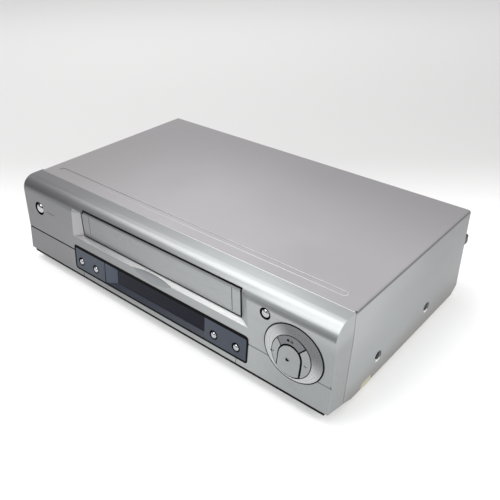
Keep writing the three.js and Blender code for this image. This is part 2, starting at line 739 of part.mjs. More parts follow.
function grooveCut() {
  const half = GROOVE_WIDTH / 2;
  const vee = outline([
    [GROOVE_BACK - CUT_PAST, GROOVE_Z - half],
    [GROOVE_BACK, GROOVE_Z - half],
    [GROOVE_BACK + GROOVE_DEPTH, GROOVE_Z],
    [GROOVE_BACK, GROOVE_Z + half],
    [GROOVE_BACK - CUT_PAST, GROOVE_Z + half],
  ]);
  return prism("x", vee, -WIDTH, WIDTH);
}

function panelOutline(grow) {
  return roundedBox(
    PANEL_LEFT_X - grow,
    PANEL_RIGHT_X + grow,
    -grow,
    PANEL_HEIGHT + grow,
    PANEL_CORNER,
  );
}

function hingeLug(side) {
  const inner = MECH_X + side * (FLAP_WIDTH / 2 + FLAP_GAP);
  const outer = inner + side * HINGE_LUG_WIDTH;
  const cheek = prism("x", outline([
    [COLLAR_BACK_Y - FRONT_WALL, FLAP_AXIS_Z - HINGE_LUG_RADIUS],
    [FLAP_AXIS_Y + HINGE_LUG_RADIUS, FLAP_AXIS_Z - HINGE_LUG_RADIUS],
    [FLAP_AXIS_Y + HINGE_LUG_RADIUS, FLAP_AXIS_Z + HINGE_LUG_RADIUS],
    [COLLAR_BACK_Y - FRONT_WALL, FLAP_AXIS_Z + HINGE_LUG_RADIUS],
  ]), Math.min(inner, outer), Math.max(inner, outer));
  return cut(cheek, rod(
    "x", FLAP_AXIS_Y, FLAP_AXIS_Z, FLAP_PIN_RADIUS + REST_GAP, -WIDTH, WIDTH, SMALL_SIDES,
  ));
}

function boardBosses() {
  const recessHalf = FLAP_WIDTH / 2 + FLAP_GAP + RECESS_SIDE + COLLAR_WALL;
  const highX = recessHalf + BOARD_BOSS_GAP + BOARD_BOSS_RADIUS;
  const lowX = RIGHT_X - BOARD_BOSS_TO_SIDE;
  const spots = [[-lowX, BOARD_BOSS_LOW_Z], [lowX, BOARD_BOSS_LOW_Z]];
  spots.push([MECH_X - highX, BOARD_BOSS_HIGH_Z], [MECH_X + highX, BOARD_BOSS_HIGH_Z]);
  return spots.map(([x, z]) => rod(
    "y", x, z, BOARD_BOSS_RADIUS, faceY(z) + FRONT_WALL / 2, FRONT_BOARD_Y - REST_GAP, SMALL_SIDES,
  ));
}

function frontMoulding() {
  const outer = solid(prism("x", frontOutline(0), -WIDTH / 2, WIDTH / 2));
  const hollow = solid(prism("x", frontOutline(FRONT_WALL), -WIDTH / 2 + FRONT_WALL, WIDTH / 2 - FRONT_WALL));
  const left = MECH_X - FLAP_WIDTH / 2 - FLAP_GAP - RECESS_SIDE - COLLAR_WALL;
  const right = MECH_X + FLAP_WIDTH / 2 + FLAP_GAP + RECESS_SIDE + COLLAR_WALL;
  const collarBlock = block(
    left, right, 0, COLLAR_BACK_Y, RECESS_FOOT_Z - COLLAR_DROP, RECESS_TOP_Z + COLLAR_WALL,
  );
  const collar = common(outer, collarBlock);
  const walls = join(cut(outer, hollow), collar, hingeLug(-1), hingeLug(1), ...boardBosses());
  const panelShape = panelOutline(PANEL_GAP);
  const panelHole = placed(prism("y", panelShape, -CUT_PAST, PANEL_THICK + CUT_PAST), PANEL_PLACE);
  const dishShape = ring(0, 0, DISH_HALF_WIDTH + DISH_GAP, DISH_HALF_HEIGHT + DISH_GAP, WIDE_SIDES);
  const dishHole = placed(prism("y", dishShape, -CUT_PAST, CUT_PAST), DISH_PLACE);
  const powerHole = placed(rod("y", 0, 0, POWER_RADIUS + BUTTON_GAP, -CUT_PAST, CUT_PAST), POWER_PLACE);
  const ejectHole = placed(rod("y", 0, 0, EJECT_RADIUS + BUTTON_GAP, -CUT_PAST, CUT_PAST), EJECT_PLACE);
  return cut(walls, grooveCut(), recessCut(), scoopCut(), panelHole, dishHole, powerHole, ejectHole);
}

// Tape door with its two ears and pins, and the coil spring on the left pin
function flap() {
  const left = MECH_X - FLAP_WIDTH / 2;
  const right = MECH_X + FLAP_WIDTH / 2;
  const plate = block(left, right, FLAP_Y, FLAP_Y + FLAP_THICK, FLAP_FOOT_Z, FLAP_TOP_Z);
  const earFrontY = COLLAR_BACK_Y + REST_GAP;
  const ear = outline([
    [earFrontY, FLAP_TOP_Z - FLAP_EAR_RADIUS],
    [FLAP_AXIS_Y + FLAP_EAR_RADIUS, FLAP_TOP_Z - FLAP_EAR_RADIUS],
    [FLAP_AXIS_Y + FLAP_EAR_RADIUS, FLAP_AXIS_Z],
    [FLAP_AXIS_Y, FLAP_AXIS_Z + FLAP_EAR_RADIUS],
    [earFrontY, FLAP_AXIS_Z],
  ]);
  const pinEnd = FLAP_GAP + HINGE_LUG_WIDTH;
  return join(
    plate,
    prism("x", ear, left + SPRING_SPACE, left + SPRING_SPACE + FLAP_EAR_WIDTH),
    prism("x", ear, right - FLAP_EAR_WIDTH, right),
    rod("x", FLAP_AXIS_Y, FLAP_AXIS_Z, FLAP_PIN_RADIUS, left - pinEnd, left + SPRING_SPACE, SMALL_SIDES),
    rod("x", FLAP_AXIS_Y, FLAP_AXIS_Z, FLAP_PIN_RADIUS, right, right + pinEnd, SMALL_SIDES),
  );
}

class DoorSpring extends THREE.Curve {
  getPoint(t, target = new THREE.Vector3()) {
    const start = MECH_X - FLAP_WIDTH / 2;
    const coil = THREE.MathUtils.clamp((t - SPRING_LEG_SHARE) / (1 - 2 * SPRING_LEG_SHARE), 0, 1);
    const angle = coil * SPRING_TURNS * Math.PI * 2 - Math.PI / 2;
    const along = THREE.MathUtils.clamp(t / SPRING_LEG_SHARE, 0, 1);
    const back = THREE.MathUtils.clamp((t - 1 + SPRING_LEG_SHARE) / SPRING_LEG_SHARE, 0, 1);
    return target.set(
      start + SPRING_PITCH * SPRING_TURNS * coil,
      FLAP_AXIS_Y + SPRING_RADIUS * Math.cos(angle) + SPRING_LEG * (back - 1 + along),
      FLAP_AXIS_Z + SPRING_RADIUS * Math.sin(angle),
    );
  }
}

function doorSpring() {
  return new THREE.ExtrudeGeometry(ring(0, 0, SPRING_WIRE, SPRING_WIRE, SPRING_SIDES), {
    steps: SPRING_STEPS,
    bevelEnabled: false,
    extrudePath: new DoorSpring(),
  });
}

// Display panel, its lens and the small domes
const LENS_LEFT_X = WINDOW_LEFT_X + WINDOW_LEFT_BEVEL;
const LENS_RIGHT_X = WINDOW_RIGHT_X - WINDOW_RIGHT_BEVEL;
const LENS_FOOT = WINDOW_FOOT + WINDOW_FOOT_BEVEL;

function displayPanel() {
  const corners = [];
  for (const y of [-CUT_PAST, 0]) {
    for (const x of [WINDOW_LEFT_X, WINDOW_RIGHT_X]) {
      corners.push([x, y, WINDOW_FOOT], [x, y, WINDOW_TOP]);
    }
  }
  for (const x of [LENS_LEFT_X, LENS_RIGHT_X]) {
    corners.push([x, WINDOW_DEEP, LENS_FOOT], [x, WINDOW_DEEP, WINDOW_TOP]);
  }
  const through = block(LENS_LEFT_X, LENS_RIGHT_X, 0, PANEL_THICK + CUT_PAST, LENS_FOOT, WINDOW_TOP);
  const holes = SMALL_BUTTON_XS.map((x) => rod(
    "y", x, SMALL_BUTTON_UP, SMALL_HOLE_RADIUS, -CUT_PAST, PANEL_THICK + CUT_PAST,
  ));
  return cut(prism("y", panelOutline(0), 0, PANEL_THICK), hull(corners), through, ...holes);
}

function displayLens() {
  return block(
    LENS_LEFT_X + REST_GAP, LENS_RIGHT_X - REST_GAP,
    WINDOW_DEEP, WINDOW_DEEP + LENS_THICK,
    LENS_FOOT + REST_GAP, WINDOW_TOP - REST_GAP,
  );
}

// A round button: domed cap, flange behind the wall that it comes through, stem to its switch.
function roundButton(radius, holeRadius, wall, reach) {
  const flangeY = wall + REST_GAP;
  const flangeRadius = holeRadius + BUTTON_FLANGE;
  return turnedInwards([
    ...DOME_SHARES.map(([out, up]) => [radius * out, -BUTTON_RISE * up]),
    [radius, BUTTON_RIM],
    [radius, flangeY],
    [flangeRadius, flangeY],
    [flangeRadius, flangeY + BUTTON_FLANGE_THICK],
    [STEM_RADIUS, flangeY + BUTTON_FLANGE_THICK],
    [STEM_RADIUS, reach],
    [0, reach],
  ]);
}

// Dish and keys share one hollow front surface, turned about the dish's axis and squeezed to an oval.
function dishProfile(rise) {
  const profile = [];
  for (let i = 0; i <= DISH_STEPS; i += 1) {
    const share = i / DISH_STEPS;
    profile.push([DISH_HALF_WIDTH * share, DISH_DEPTH * (1 - share * share) - rise]);
  }
  return profile;
}

function dishBody(rise) {
  const back = DISH_DEPTH + DISH_THICK;
  const wide = DISH_HALF_WIDTH + DISH_FLANGE;
  const profile = dishProfile(rise).concat([
    [DISH_HALF_WIDTH, DISH_FLANGE_BACK],
    [wide, DISH_FLANGE_BACK],
    [wide, back],
    [0, back],
  ]);
  return turnedInwards(profile, WIDE_SIDES).scale(1, 1, DISH_HALF_HEIGHT / DISH_HALF_WIDTH);
}

function keyPrism(shape) {
  return prism("y", shape, -CUT_PAST, DISH_DEPTH + DISH_THICK + CUT_PAST);
}

const [PLAY_X, PLAY_ARCH_Z] = onKeyRing(PLAY_ARCH_SHARES);
const LEFT_SEAM = { outer: onKeyRing(LEFT_SEAM_SHARES.outer), inner: onKeyRing(LEFT_SEAM_SHARES.inner) };
const RIGHT_SEAM = { outer: onKeyRing(RIGHT_SEAM_SHARES.outer), inner: onKeyRing(RIGHT_SEAM_SHARES.inner) };

function playOutline(grow) {
  const points = [];
  const half = KEY_RING_HALF_WIDTH * PLAY_SIZE_SHARE + grow;
  const rise = KEY_RING_HALF_HEIGHT * PLAY_SIZE_SHARE + grow;
  for (let i = 0; i <= SMALL_SIDES; i += 1) {
    const angle = (Math.PI * i) / SMALL_SIDES;
    points.push([PLAY_X + half * Math.cos(angle), PLAY_ARCH_Z + rise * Math.sin(angle)]);
  }
  points.push([PLAY_X - half, PLAY_ARCH_Z - DISH_HALF_HEIGHT]);
  points.push([PLAY_X + half, PLAY_ARCH_Z - DISH_HALF_HEIGHT]);
  return outline(points);
}

function stretched(seam) {
  const across = (seam.outer[0] - seam.inner[0]) * SEAM_REACH_SHARE;
  const up = (seam.outer[1] - seam.inner[1]) * SEAM_REACH_SHARE;
  return {
    outer: [seam.outer[0] + across, seam.outer[1] + up],
    inner: [seam.inner[0] - across, seam.inner[1] - up],
  };
}

function seamCut(seam) {
  const { outer, inner } = stretched(seam);
  const length = Math.hypot(outer[0] - inner[0], outer[1] - inner[1]);
  const sideX = ((outer[1] - inner[1]) / length) * (KEY_GAP / 2);
  const sideZ = (-(outer[0] - inner[0]) / length) * (KEY_GAP / 2);
  return keyPrism(outline([
    [outer[0] + sideX, outer[1] + sideZ],
    [inner[0] + sideX, inner[1] + sideZ],
    [inner[0] - sideX, inner[1] - sideZ],
    [outer[0] - sideX, outer[1] - sideZ],
  ]));
}

function keyStem([x, z]) {
  const back = DISH_DEPTH + DISH_THICK;
  return rod("y", x, z, STEM_RADIUS, back - REST_GAP, back + STEM_LENGTH, SMALL_SIDES);
}

function dishPieces() {
  const whole = solid(dishBody(0));
  const keyRing = (gap) => keyPrism(ring(
    KEY_RING_X, KEY_RING_Z, KEY_RING_HALF_WIDTH - gap, KEY_RING_HALF_HEIGHT - gap, WIDE_SIDES,
  ));
  const keys = common(dishBody(KEY_RISE), keyRing(KEY_GAP));
  const ringKeys = cut(keys, keyPrism(playOutline(KEY_GAP)), seamCut(LEFT_SEAM), seamCut(RIGHT_SEAM));
  const left = stretched(LEFT_SEAM).outer;
  const right = stretched(RIGHT_SEAM).outer;
  const centre = [PLAY_X, PLAY_ARCH_Z];
  const far = DISH_HALF_WIDTH * 2;
  const sector = (points) => common(ringKeys, keyPrism(outline(points)));
  return {
    dish: cut(whole, keyRing(0)),
    play: join(common(keys, keyPrism(playOutline(0))), keyStem(PLAY_STEM)),
    stop: join(
      sector([centre, RIGHT_SEAM.inner, right, [far, far], [-far, far], left, LEFT_SEAM.inner]),
      keyStem(STOP_STEM),
    ),
    rewind: join(
      sector([centre, LEFT_SEAM.inner, left, [-far, left[1]], [-far, -far], [PLAY_X, -far]]),
      keyStem(REWIND_STEM),
    ),
    forward: join(
      sector([centre, [PLAY_X, -far], [far, -far], [far, right[1]], right, RIGHT_SEAM.inner]),
      keyStem(FORWARD_STEM),
    ),
  };
}

// Folded cover: a bent sheet, trimmed to its side outline, with dimples for the screws
function sheetSection(inset) {
  const half = WIDTH / 2 - inset;
  const radius = BEND_RADIUS - inset;
  const top = HEIGHT - inset;
  const points = [];
  for (const [centreX, start] of [[half - radius, 0], [radius - half, Math.PI / 2]]) {
    for (let i = 0; i <= BEND_STEPS; i += 1) {
      const angle = start + (Math.PI / 2) * (i / BEND_STEPS);
      points.push([centreX + radius * Math.cos(angle), top - radius + radius * Math.sin(angle)]);
    }
  }
  points.push([-half, -CUT_PAST], [half, -CUT_PAST]);
  return outline(points);
}

function coverSide() {
  return outline([
    [SEAM_TOP_Y + SEAM_GAP, HEIGHT + CUT_PAST],
    [SEAM_TOP_Y + SEAM_GAP, SEAM_BEND_Z],
    [SEAM_FOOT_Y + SEAM_GAP, SEAM_FOOT_Z],
    [COVER_TOE_Y, COVER_FOOT_Z],
    [NOTCH_FRONT_Y, COVER_FOOT_Z],
    [NOTCH_FRONT_Y + NOTCH_SLANT, COVER_FOOT_Z + NOTCH_RISE],
    [NOTCH_BACK_Y, COVER_FOOT_Z + NOTCH_RISE],
    [NOTCH_BACK_Y, COVER_FOOT_Z],
    [CASE_DEPTH - COVER_HEEL, COVER_FOOT_Z],
    [CASE_DEPTH, COVER_FOOT_Z + COVER_HEEL_RISE],
    [CASE_DEPTH, HEIGHT + CUT_PAST],
  ]);
}

function sideways(side, u0, u1) {
  return side > 0 ? [u0, u1] : [-u1, -u0];
}

function dimple(side, y, grow) {
  const outerX = WIDTH / 2 + (grow > 0 ? -SHEET / 2 : CUT_PAST);
  const [from, to] = sideways(side, WIDTH / 2 - DIMPLE_DEPTH - grow, outerX);
  return rod("x", y, SIDE_SCREW_Z, DIMPLE_FLOOR_RADIUS + grow, from, to, ROUND_SIDES);
}

function cover() {
  const sheet = cut(
    prism("y", sheetSection(0), 0, CASE_DEPTH + CUT_PAST),
    prism("y", sheetSection(SHEET), -CUT_PAST, CASE_DEPTH + CUT_PAST * 2),
  );
  let body = common(sheet, prism("x", coverSide(), -WIDTH, WIDTH));
  for (const side of [-1, 1]) {
    for (const y of SIDE_SCREW_YS) {
      const [holeFrom, holeTo] = sideways(side, WIDTH / 2 - CUT_PAST, WIDTH / 2 + CUT_PAST);
      const holeRadius = SCREW_SHANK_RADIUS + SCREW_HOLE_GAP;
      const hole = rod("x", y, SIDE_SCREW_Z, holeRadius, holeFrom, holeTo, SMALL_SIDES);
      body = cut(join(body, dimple(side, y, DIMPLE_WALL)), dimple(side, y, 0), hole);
    }
  }
  const rib = roundedBox(
    MECH_X + LEFT_X + RIB_TO_SIDE, MECH_X + RIGHT_X - RIB_TO_SIDE,
    RIB_Y - RIB_HALF_WIDTH, RIB_Y + RIB_HALF_WIDTH, RIB_HALF_WIDTH,
  );
  return cut(body, prism("z", rib, HEIGHT - RIB_DEPTH, HEIGHT + CUT_PAST));
}

function sideScrew(side) {
  const headX = WIDTH / 2 - DIMPLE_DEPTH + REST_GAP;
  const head = rod("x", 0, 0, SCREW_HEAD_RADIUS, ...sideways(side, headX, headX + SCREW_HEAD_THICK));
  const shank = rod(
    "x", 0, 0, SCREW_SHANK_RADIUS, ...sideways(side, headX - SCREW_LENGTH, headX), SMALL_SIDES,
  );
  const slotX = headX + SCREW_HEAD_THICK - SCREW_SLOT_DEPTH;
  const [slotFrom, slotTo] = sideways(side, slotX, slotX + CUT_PAST);
  const reach = SCREW_SLOT_REACH;
  const half = SCREW_SLOT_WIDTH / 2;
  return cut(
    join(head, shank),
    block(slotFrom, slotTo, -reach, reach, -half, half),
    block(slotFrom, slotTo, -half, half, -reach, reach),
  );
}

// Chassis tray: floor, low walls, posts for the boards and the deck, bosses for the side screws
function chassis() {
  const rearY = REAR_PANEL_Y - REST_GAP;
  const wallTop = FLOOR_Z + CHASSIS_WALL_HEIGHT;
  const bossInX = CHASSIS_HALF - SCREW_BOSS_LENGTH;
  const parts = [block(
    -CHASSIS_HALF, CHASSIS_HALF, CHASSIS_FRONT_Y, CHASSIS_FRONT_Y + CHASSIS_WALL,
    FLOOR_Z, FLOOR_Z + CHASSIS_FRONT_HEIGHT,
  )];
  const cuts = [];
  for (const side of [-1, 1]) {
    const [wallFrom, wallTo] = sideways(side, CHASSIS_HALF - CHASSIS_WALL, CHASSIS_HALF);
    parts.push(block(wallFrom, wallTo, CHASSIS_FRONT_Y, rearY, FLOOR_Z, wallTop));
    for (const y of SIDE_SCREW_YS) {
      parts.push(rod("x", y, SIDE_SCREW_Z, SCREW_BOSS_RADIUS, ...sideways(side, bossInX, CHASSIS_HALF)));
      cuts.push(dimple(side, y, DIMPLE_WALL + REST_GAP));
      const holeRadius = SCREW_SHANK_RADIUS + REST_GAP;
      const [holeFrom, holeTo] = sideways(side, bossInX - CUT_PAST, WIDTH);
      cuts.push(rod("x", y, SIDE_SCREW_Z, holeRadius, holeFrom, holeTo, SMALL_SIDES));
    }
    for (const y of DECK_POST_YS) {
      parts.push(rod("z", MECH_X + side * DECK_POST_X, y, DECK_POST_RADIUS, FLOOR_Z, DECK_Z - REST_GAP));
    }
    for (const y of [MAIN_BOARD_FRONT_Y + BOARD_POST_INSET, MAIN_BOARD_REAR_Y - BOARD_POST_INSET]) {
      const x = side * (RIGHT_X - BOARD_POST_TO_SIDE);
      parts.push(rod("z", x, y, BOARD_POST_RADIUS, FLOOR_Z, MAIN_BOARD_Z - REST_GAP, SMALL_SIDES));
    }
  }
  for (let i = 0; i < VENT_COUNT; i += 1) {
    const x = LEFT_X + VENT_TO_SIDE + (i - (VENT_COUNT - 1) / 2) * VENT_PITCH;
    cuts.push(block(
      x - VENT_WIDTH / 2, x + VENT_WIDTH / 2, VENT_Y - VENT_LENGTH / 2, VENT_Y + VENT_LENGTH / 2,
      FLOOR_Z - CUT_PAST, FLOOR_TOP_Z + REST_GAP,
    ));
  }
  const floor = block(-CHASSIS_HALF, CHASSIS_HALF, CHASSIS_FRONT_Y, rearY, FLOOR_Z, FLOOR_TOP_Z);
  return cut(join(floor, ...parts), ...cuts);
}

function foot() {
  return turned([
    [0, 0],
    [FOOT_TOP_RADIUS, 0],
    [FOOT_RADIUS, FOOT_HEIGHT / 2],
    [FOOT_RADIUS, FOOT_HEIGHT],
    [0, FOOT_HEIGHT],
  ]);
}

// Front board: low behind the display, tall at both ends, a switch behind each button
function switchSpots() {
  const spots = SMALL_BUTTON_XS.map((x) => [x, PANEL_FOOT_Z + SMALL_BUTTON_UP]);
  spots.push([POWER_X, POWER_Z], [EJECT_X, EJECT_Z]);
  for (const [x, z] of [PLAY_STEM, STOP_STEM, REWIND_STEM, FORWARD_STEM]) {
    spots.push([DISH_X + x, DISH_Z + z]);
  }
  return spots;
}

function frontBoard() {
  const half = WIDTH / 2 - FRONT_WALL - FRONT_BOARD_SIDE;
  const high = HEIGHT - FRONT_BOARD_DROP;
  const left = MECH_X - FLAP_WIDTH / 2 - FLAP_GAP - RECESS_SIDE;
  const right = MECH_X + FLAP_WIDTH / 2 + FLAP_GAP + RECESS_SIDE;
  const plate = prism("y", outline([
    [-half, FRONT_BOARD_FOOT_Z],
    [half, FRONT_BOARD_FOOT_Z],
    [half, high],
    [right, high],
    [right, FRONT_BOARD_LOW_TOP_Z],
    [left, FRONT_BOARD_LOW_TOP_Z],
    [left, high],
    [-half, high],
  ]), FRONT_BOARD_Y, FRONT_BOARD_Y + FRONT_BOARD_THICK);
  const switches = switchSpots().map(([x, z]) => block(
    x - SWITCH_HALF, x + SWITCH_HALF, FRONT_BOARD_Y - SWITCH_THICK, FRONT_BOARD_Y + REST_GAP,
    z - SWITCH_HALF, z + SWITCH_HALF,
  ));
  return join(plate, ...switches);
}

// How far a button's stem reaches in, so that it ends just before its switch
function stemReach(placing, up) {
  const y = placing.y + up * Math.sin(-placing.tilt);
  return (FRONT_BOARD_Y - SWITCH_THICK - SWITCH_GAP - BUTTON_TRAVEL - y) / Math.cos(placing.tilt);
}

function displayTube() {
  const backY = FRONT_BOARD_Y - REST_GAP;
  return block(
    LENS_LEFT_X + TUBE_INSET, LENS_RIGHT_X - TUBE_INSET, backY - TUBE_THICK, backY, TUBE_FOOT_Z, TUBE_TOP_Z,
  );
}

// Main board with its chip and capacitors
function mainBoard() {
  const half = CHASSIS_HALF - CHASSIS_WALL - MAIN_BOARD_SIDE;
  const plate = block(-half, half, MAIN_BOARD_FRONT_Y, MAIN_BOARD_REAR_Y, MAIN_BOARD_Z, MAIN_BOARD_TOP_Z);
  const sunk = MAIN_BOARD_TOP_Z - REST_GAP;
  const cans = CAN_YS.map((y) => rod(
    "z", RIGHT_X - CAN_TO_SIDE, y, CAN_RADIUS, sunk, MAIN_BOARD_TOP_Z + CAN_HEIGHT, SMALL_SIDES,
  ));
  const chipX = RIGHT_X - CHIP_TO_SIDE;
  const chip = block(
    chipX - CHIP_HALF, chipX + CHIP_HALF, CHIP_Y - CHIP_HALF, CHIP_Y + CHIP_HALF,
    sunk, MAIN_BOARD_TOP_Z + CHIP_THICK,
  );
  const holes = [];
  for (const side of [-1, 1]) {
    for (const y of DECK_POST_YS) {
      const x = MECH_X + side * DECK_POST_X;
      const radius = DECK_POST_RADIUS + MAIN_BOARD_SLOT / 2;
      holes.push(rod("z", x, y, radius, MAIN_BOARD_Z - CUT_PAST, sunk + CUT_PAST, SMALL_SIDES));
    }
  }
  return cut(join(plate, chip, ...cans), ...holes);
}

function transformer() {
  const core = block(-CORE_HALF_WIDTH, CORE_HALF_WIDTH, -CORE_HALF_DEPTH, CORE_HALF_DEPTH, 0, CORE_HEIGHT);
  const coil = block(
    -COIL_HALF_WIDTH, COIL_HALF_WIDTH, -COIL_HALF_DEPTH, COIL_HALF_DEPTH, COIL_UP, COIL_UP + COIL_HEIGHT,
  );
  return join(core, coil);
}

function heatSink() {
  const fins = [];
  const pitch = (SINK_HALF_WIDTH * 2 - SINK_PLATE) / (SINK_FIN_COUNT - 1);
  for (let i = 0; i < SINK_FIN_COUNT; i += 1) {
    const x = -SINK_HALF_WIDTH + i * pitch;
    fins.push(block(x, x + SINK_PLATE, 0, SINK_PLATE + SINK_FIN, 0, SINK_HEIGHT));
  }
  return join(block(-SINK_HALF_WIDTH, SINK_HALF_WIDTH, 0, SINK_PLATE, 0, SINK_HEIGHT), ...fins);
}

// Rear panel with a hole for each socket, and the sockets
function scartShell(x, grow, from, to) {
  const half = SCART_HALF_WIDTH + grow;
  const low = SCART_FOOT_Z - grow;
  const high = SCART_FOOT_Z + SCART_HEIGHT + grow;
  return prism("y", outline([
    [x - half, low],
    [x + half - SCART_STEP, low],
    [x + half, low + SCART_STEP],
    [x + half, high],
    [x - half, high],
  ]), from, to);
}

function scartSocket(x) {
  const front = REAR_FACE_Y + SCART_REACH;
  const outer = scartShell(x, 0, REAR_PANEL_Y - SCART_INSIDE, front);
  const trench = cut(
    scartShell(x, -SCART_RIM, front - SCART_DEEP, front + CUT_PAST),
    scartShell(x, -SCART_RIM - SCART_TRENCH, front - SCART_DEEP - CUT_PAST, front + CUT_PAST * 2),
  );
  return cut(outer, trench);
}

function audioSockets() {
  const high = SCART_FOOT_Z + AUDIO_HEIGHT;
  const z = SCART_FOOT_Z + AUDIO_HEIGHT / 2;
  const parts = [];
  const bores = [];
  for (const side of [-1, 1]) {
    const x = AUDIO_X + side * (AUDIO_PITCH / 2);
    const from = REAR_PANEL_Y - AUDIO_INSIDE;
    const to = REAR_FACE_Y + AUDIO_REACH;
    parts.push(rod("y", x, z, AUDIO_COLLAR_RADIUS, from, REAR_FACE_Y + AUDIO_COLLAR_REACH));
    parts.push(rod("y", x, z, AUDIO_RADIUS, from, to));
    bores.push(rod("y", x, z, AUDIO_BORE_RADIUS, REAR_PANEL_Y, to + CUT_PAST, SMALL_SIDES));
  }
  const shell = block(
    AUDIO_X - AUDIO_HALF_WIDTH, AUDIO_X + AUDIO_HALF_WIDTH,
    REAR_PANEL_Y - AUDIO_INSIDE, REAR_PANEL_Y - REST_GAP, SCART_FOOT_Z, high,
  );
  return cut(join(shell, ...parts), ...bores);
}

function inletMouth(grow, from, to) {
  const z = SCART_FOOT_Z + INLET_HEIGHT / 2;
  const half = INLET_MOUTH_HALF_WIDTH + grow;
  const radius = INLET_MOUTH_RADIUS + grow;
  return prism("y", roundedBox(INLET_X - half, INLET_X + half, z - radius, z + radius, radius), from, to);
}

function mainsInlet() {
  const z = SCART_FOOT_Z + INLET_HEIGHT / 2;
  const front = REAR_FACE_Y + INLET_REACH;
  const shell = block(
    INLET_X - INLET_HALF_WIDTH, INLET_X + INLET_HALF_WIDTH,
    REAR_PANEL_Y - INLET_INSIDE, front, SCART_FOOT_Z, SCART_FOOT_Z + INLET_HEIGHT,
  );
  const pins = [-1, 1].map((side) => rod(
    "y", INLET_X + side * (INLET_PIN_APART / 2), z, INLET_PIN_RADIUS,
    front - INLET_DEEP - REST_GAP, front - INLET_DEEP + INLET_PIN_LENGTH, SMALL_SIDES,
  ));
  return join(cut(shell, inletMouth(0, front - INLET_DEEP, front + CUT_PAST)), ...pins);
}

function aerialBlock() {
  const rear = CASE_DEPTH + REAR_REACH;
  const z = (AERIAL_FOOT_Z + AERIAL_TOP_Z) / 2;
  const shell = block(
    AERIAL_LEFT_X, AERIAL_RIGHT_X, REAR_PANEL_Y - AERIAL_INSIDE, rear, AERIAL_FOOT_Z, AERIAL_TOP_Z,
  );
  const bores = COAX_XS.map((x) => rod("y", x, z, COAX_BORE_RADIUS, rear - COAX_DEEP, rear + CUT_PAST));
  const pins = COAX_XS.map((x) => rod(
    "y", x, z, COAX_PIN_RADIUS, rear - COAX_DEEP - REST_GAP, rear - COAX_PIN_RADIUS, SMALL_SIDES,
  ));
  return join(cut(shell, ...bores), ...pins);
}

function rearPanel() {
  const half = COVER_INNER_HALF - REST_GAP;
  const from = REAR_PANEL_Y - CUT_PAST;
  const to = REAR_FACE_Y + CUT_PAST;
  const z = SCART_FOOT_Z + AUDIO_HEIGHT / 2;
  const plate = common(
    block(-half, half, REAR_PANEL_Y, REAR_FACE_Y, COVER_FOOT_Z, HEIGHT),
    prism("y", sheetSection(SHEET + REST_GAP), from, to),
    block(-half, half, from, to, FLOOR_TOP_Z + COVER_HEEL_RISE, HEIGHT),
  );
  const holes = [
    ...SCART_XS.map((x) => scartShell(x, REST_GAP, from, to)),
    ...[-1, 1].map((side) => rod(
      "y", AUDIO_X + side * (AUDIO_PITCH / 2), z, AUDIO_COLLAR_RADIUS + REST_GAP, from, to,
    )),
    block(
      INLET_X - INLET_HALF_WIDTH - REST_GAP, INLET_X + INLET_HALF_WIDTH + REST_GAP, from, to,
      SCART_FOOT_Z - REST_GAP, SCART_FOOT_Z + INLET_HEIGHT + REST_GAP,
    ),
    block(
      AERIAL_LEFT_X - REST_GAP, AERIAL_RIGHT_X + REST_GAP, from, to,
      AERIAL_FOOT_Z - REST_GAP, AERIAL_TOP_Z + REST_GAP,
    ),
  ];
  return cut(plate, ...holes);
}

// Deck plate with slots for the tape guides and holes for the shafts
const GUIDE_RUN = Math.hypot(GUIDE_END_X - GUIDE_START_X, GUIDE_END_Y - GUIDE_START_Y);

function guideSlot(side) {
  const half = GUIDE_PIN_RADIUS + PIN_PLAY;
  const alongX = (side * (GUIDE_END_X - GUIDE_START_X)) / GUIDE_RUN;
  const alongY = (GUIDE_END_Y - GUIDE_START_Y) / GUIDE_RUN;
  const startX = MECH_X + side * GUIDE_START_X - alongX * half;
  const startY = GUIDE_START_Y - alongY * half;
  const endX = MECH_X + side * GUIDE_END_X + alongX * half;
  const endY = GUIDE_END_Y + alongY * half;
  return prism("z", outline([
    [startX + alongY * half, startY - alongX * half],
    [endX + alongY * half, endY - alongX * half],
    [endX - alongY * half, endY + alongX * half],
    [startX - alongY * half, startY + alongX * half],
  ]), DECK_Z - CUT_PAST, DECK_TOP_Z + CUT_PAST);
}

function deckHole(x, y, radius) {
  return rod("z", x, y, radius, DECK_Z - CUT_PAST, DECK_TOP_Z + CUT_PAST, SMALL_SIDES);
}

function deckPlate() {
  const plate = block(
    MECH_X - DECK_HALF_WIDTH, MECH_X + DECK_HALF_WIDTH, DECK_FRONT_Y, DECK_REAR_Y, DECK_Z, DECK_TOP_Z,
  );
  return cut(
    plate,
    guideSlot(-1),
    guideSlot(1),
    deckHole(CAPSTAN_X, CAPSTAN_Y, CAPSTAN_HOLE_RADIUS),
    deckHole(MECH_X, CLUTCH_Y, CLUTCH_AXLE_RADIUS + PIN_PLAY),
  );
}

// Side brackets, the sliding frame between them and the tray that drops inside the frame
const PIN_SLOT = GUIDE_PIN_RADIUS + PIN_PLAY;
const TRAY_TOP_Z = HEIGHT - TRAY_TOP_DROP;
const TRAY_PIN_Z = TRAY_TOP_Z - TRAY_PIN_DOWN;
const TRAY_SLOT_Z = TRAY_PIN_Z - TRAY_DROP - PIN_SLOT;
const FRAME_FOOT_Z = TRAY_SLOT_Z - FRAME_FOOT_RIM;
const FRAME_PIN_Z = FRAME_FOOT_Z + FRAME_PIN_UP;

function span(side, inner, outer) {
  const [from, to] = sideways(side, inner, outer);
  return [MECH_X + from, MECH_X + to];
}

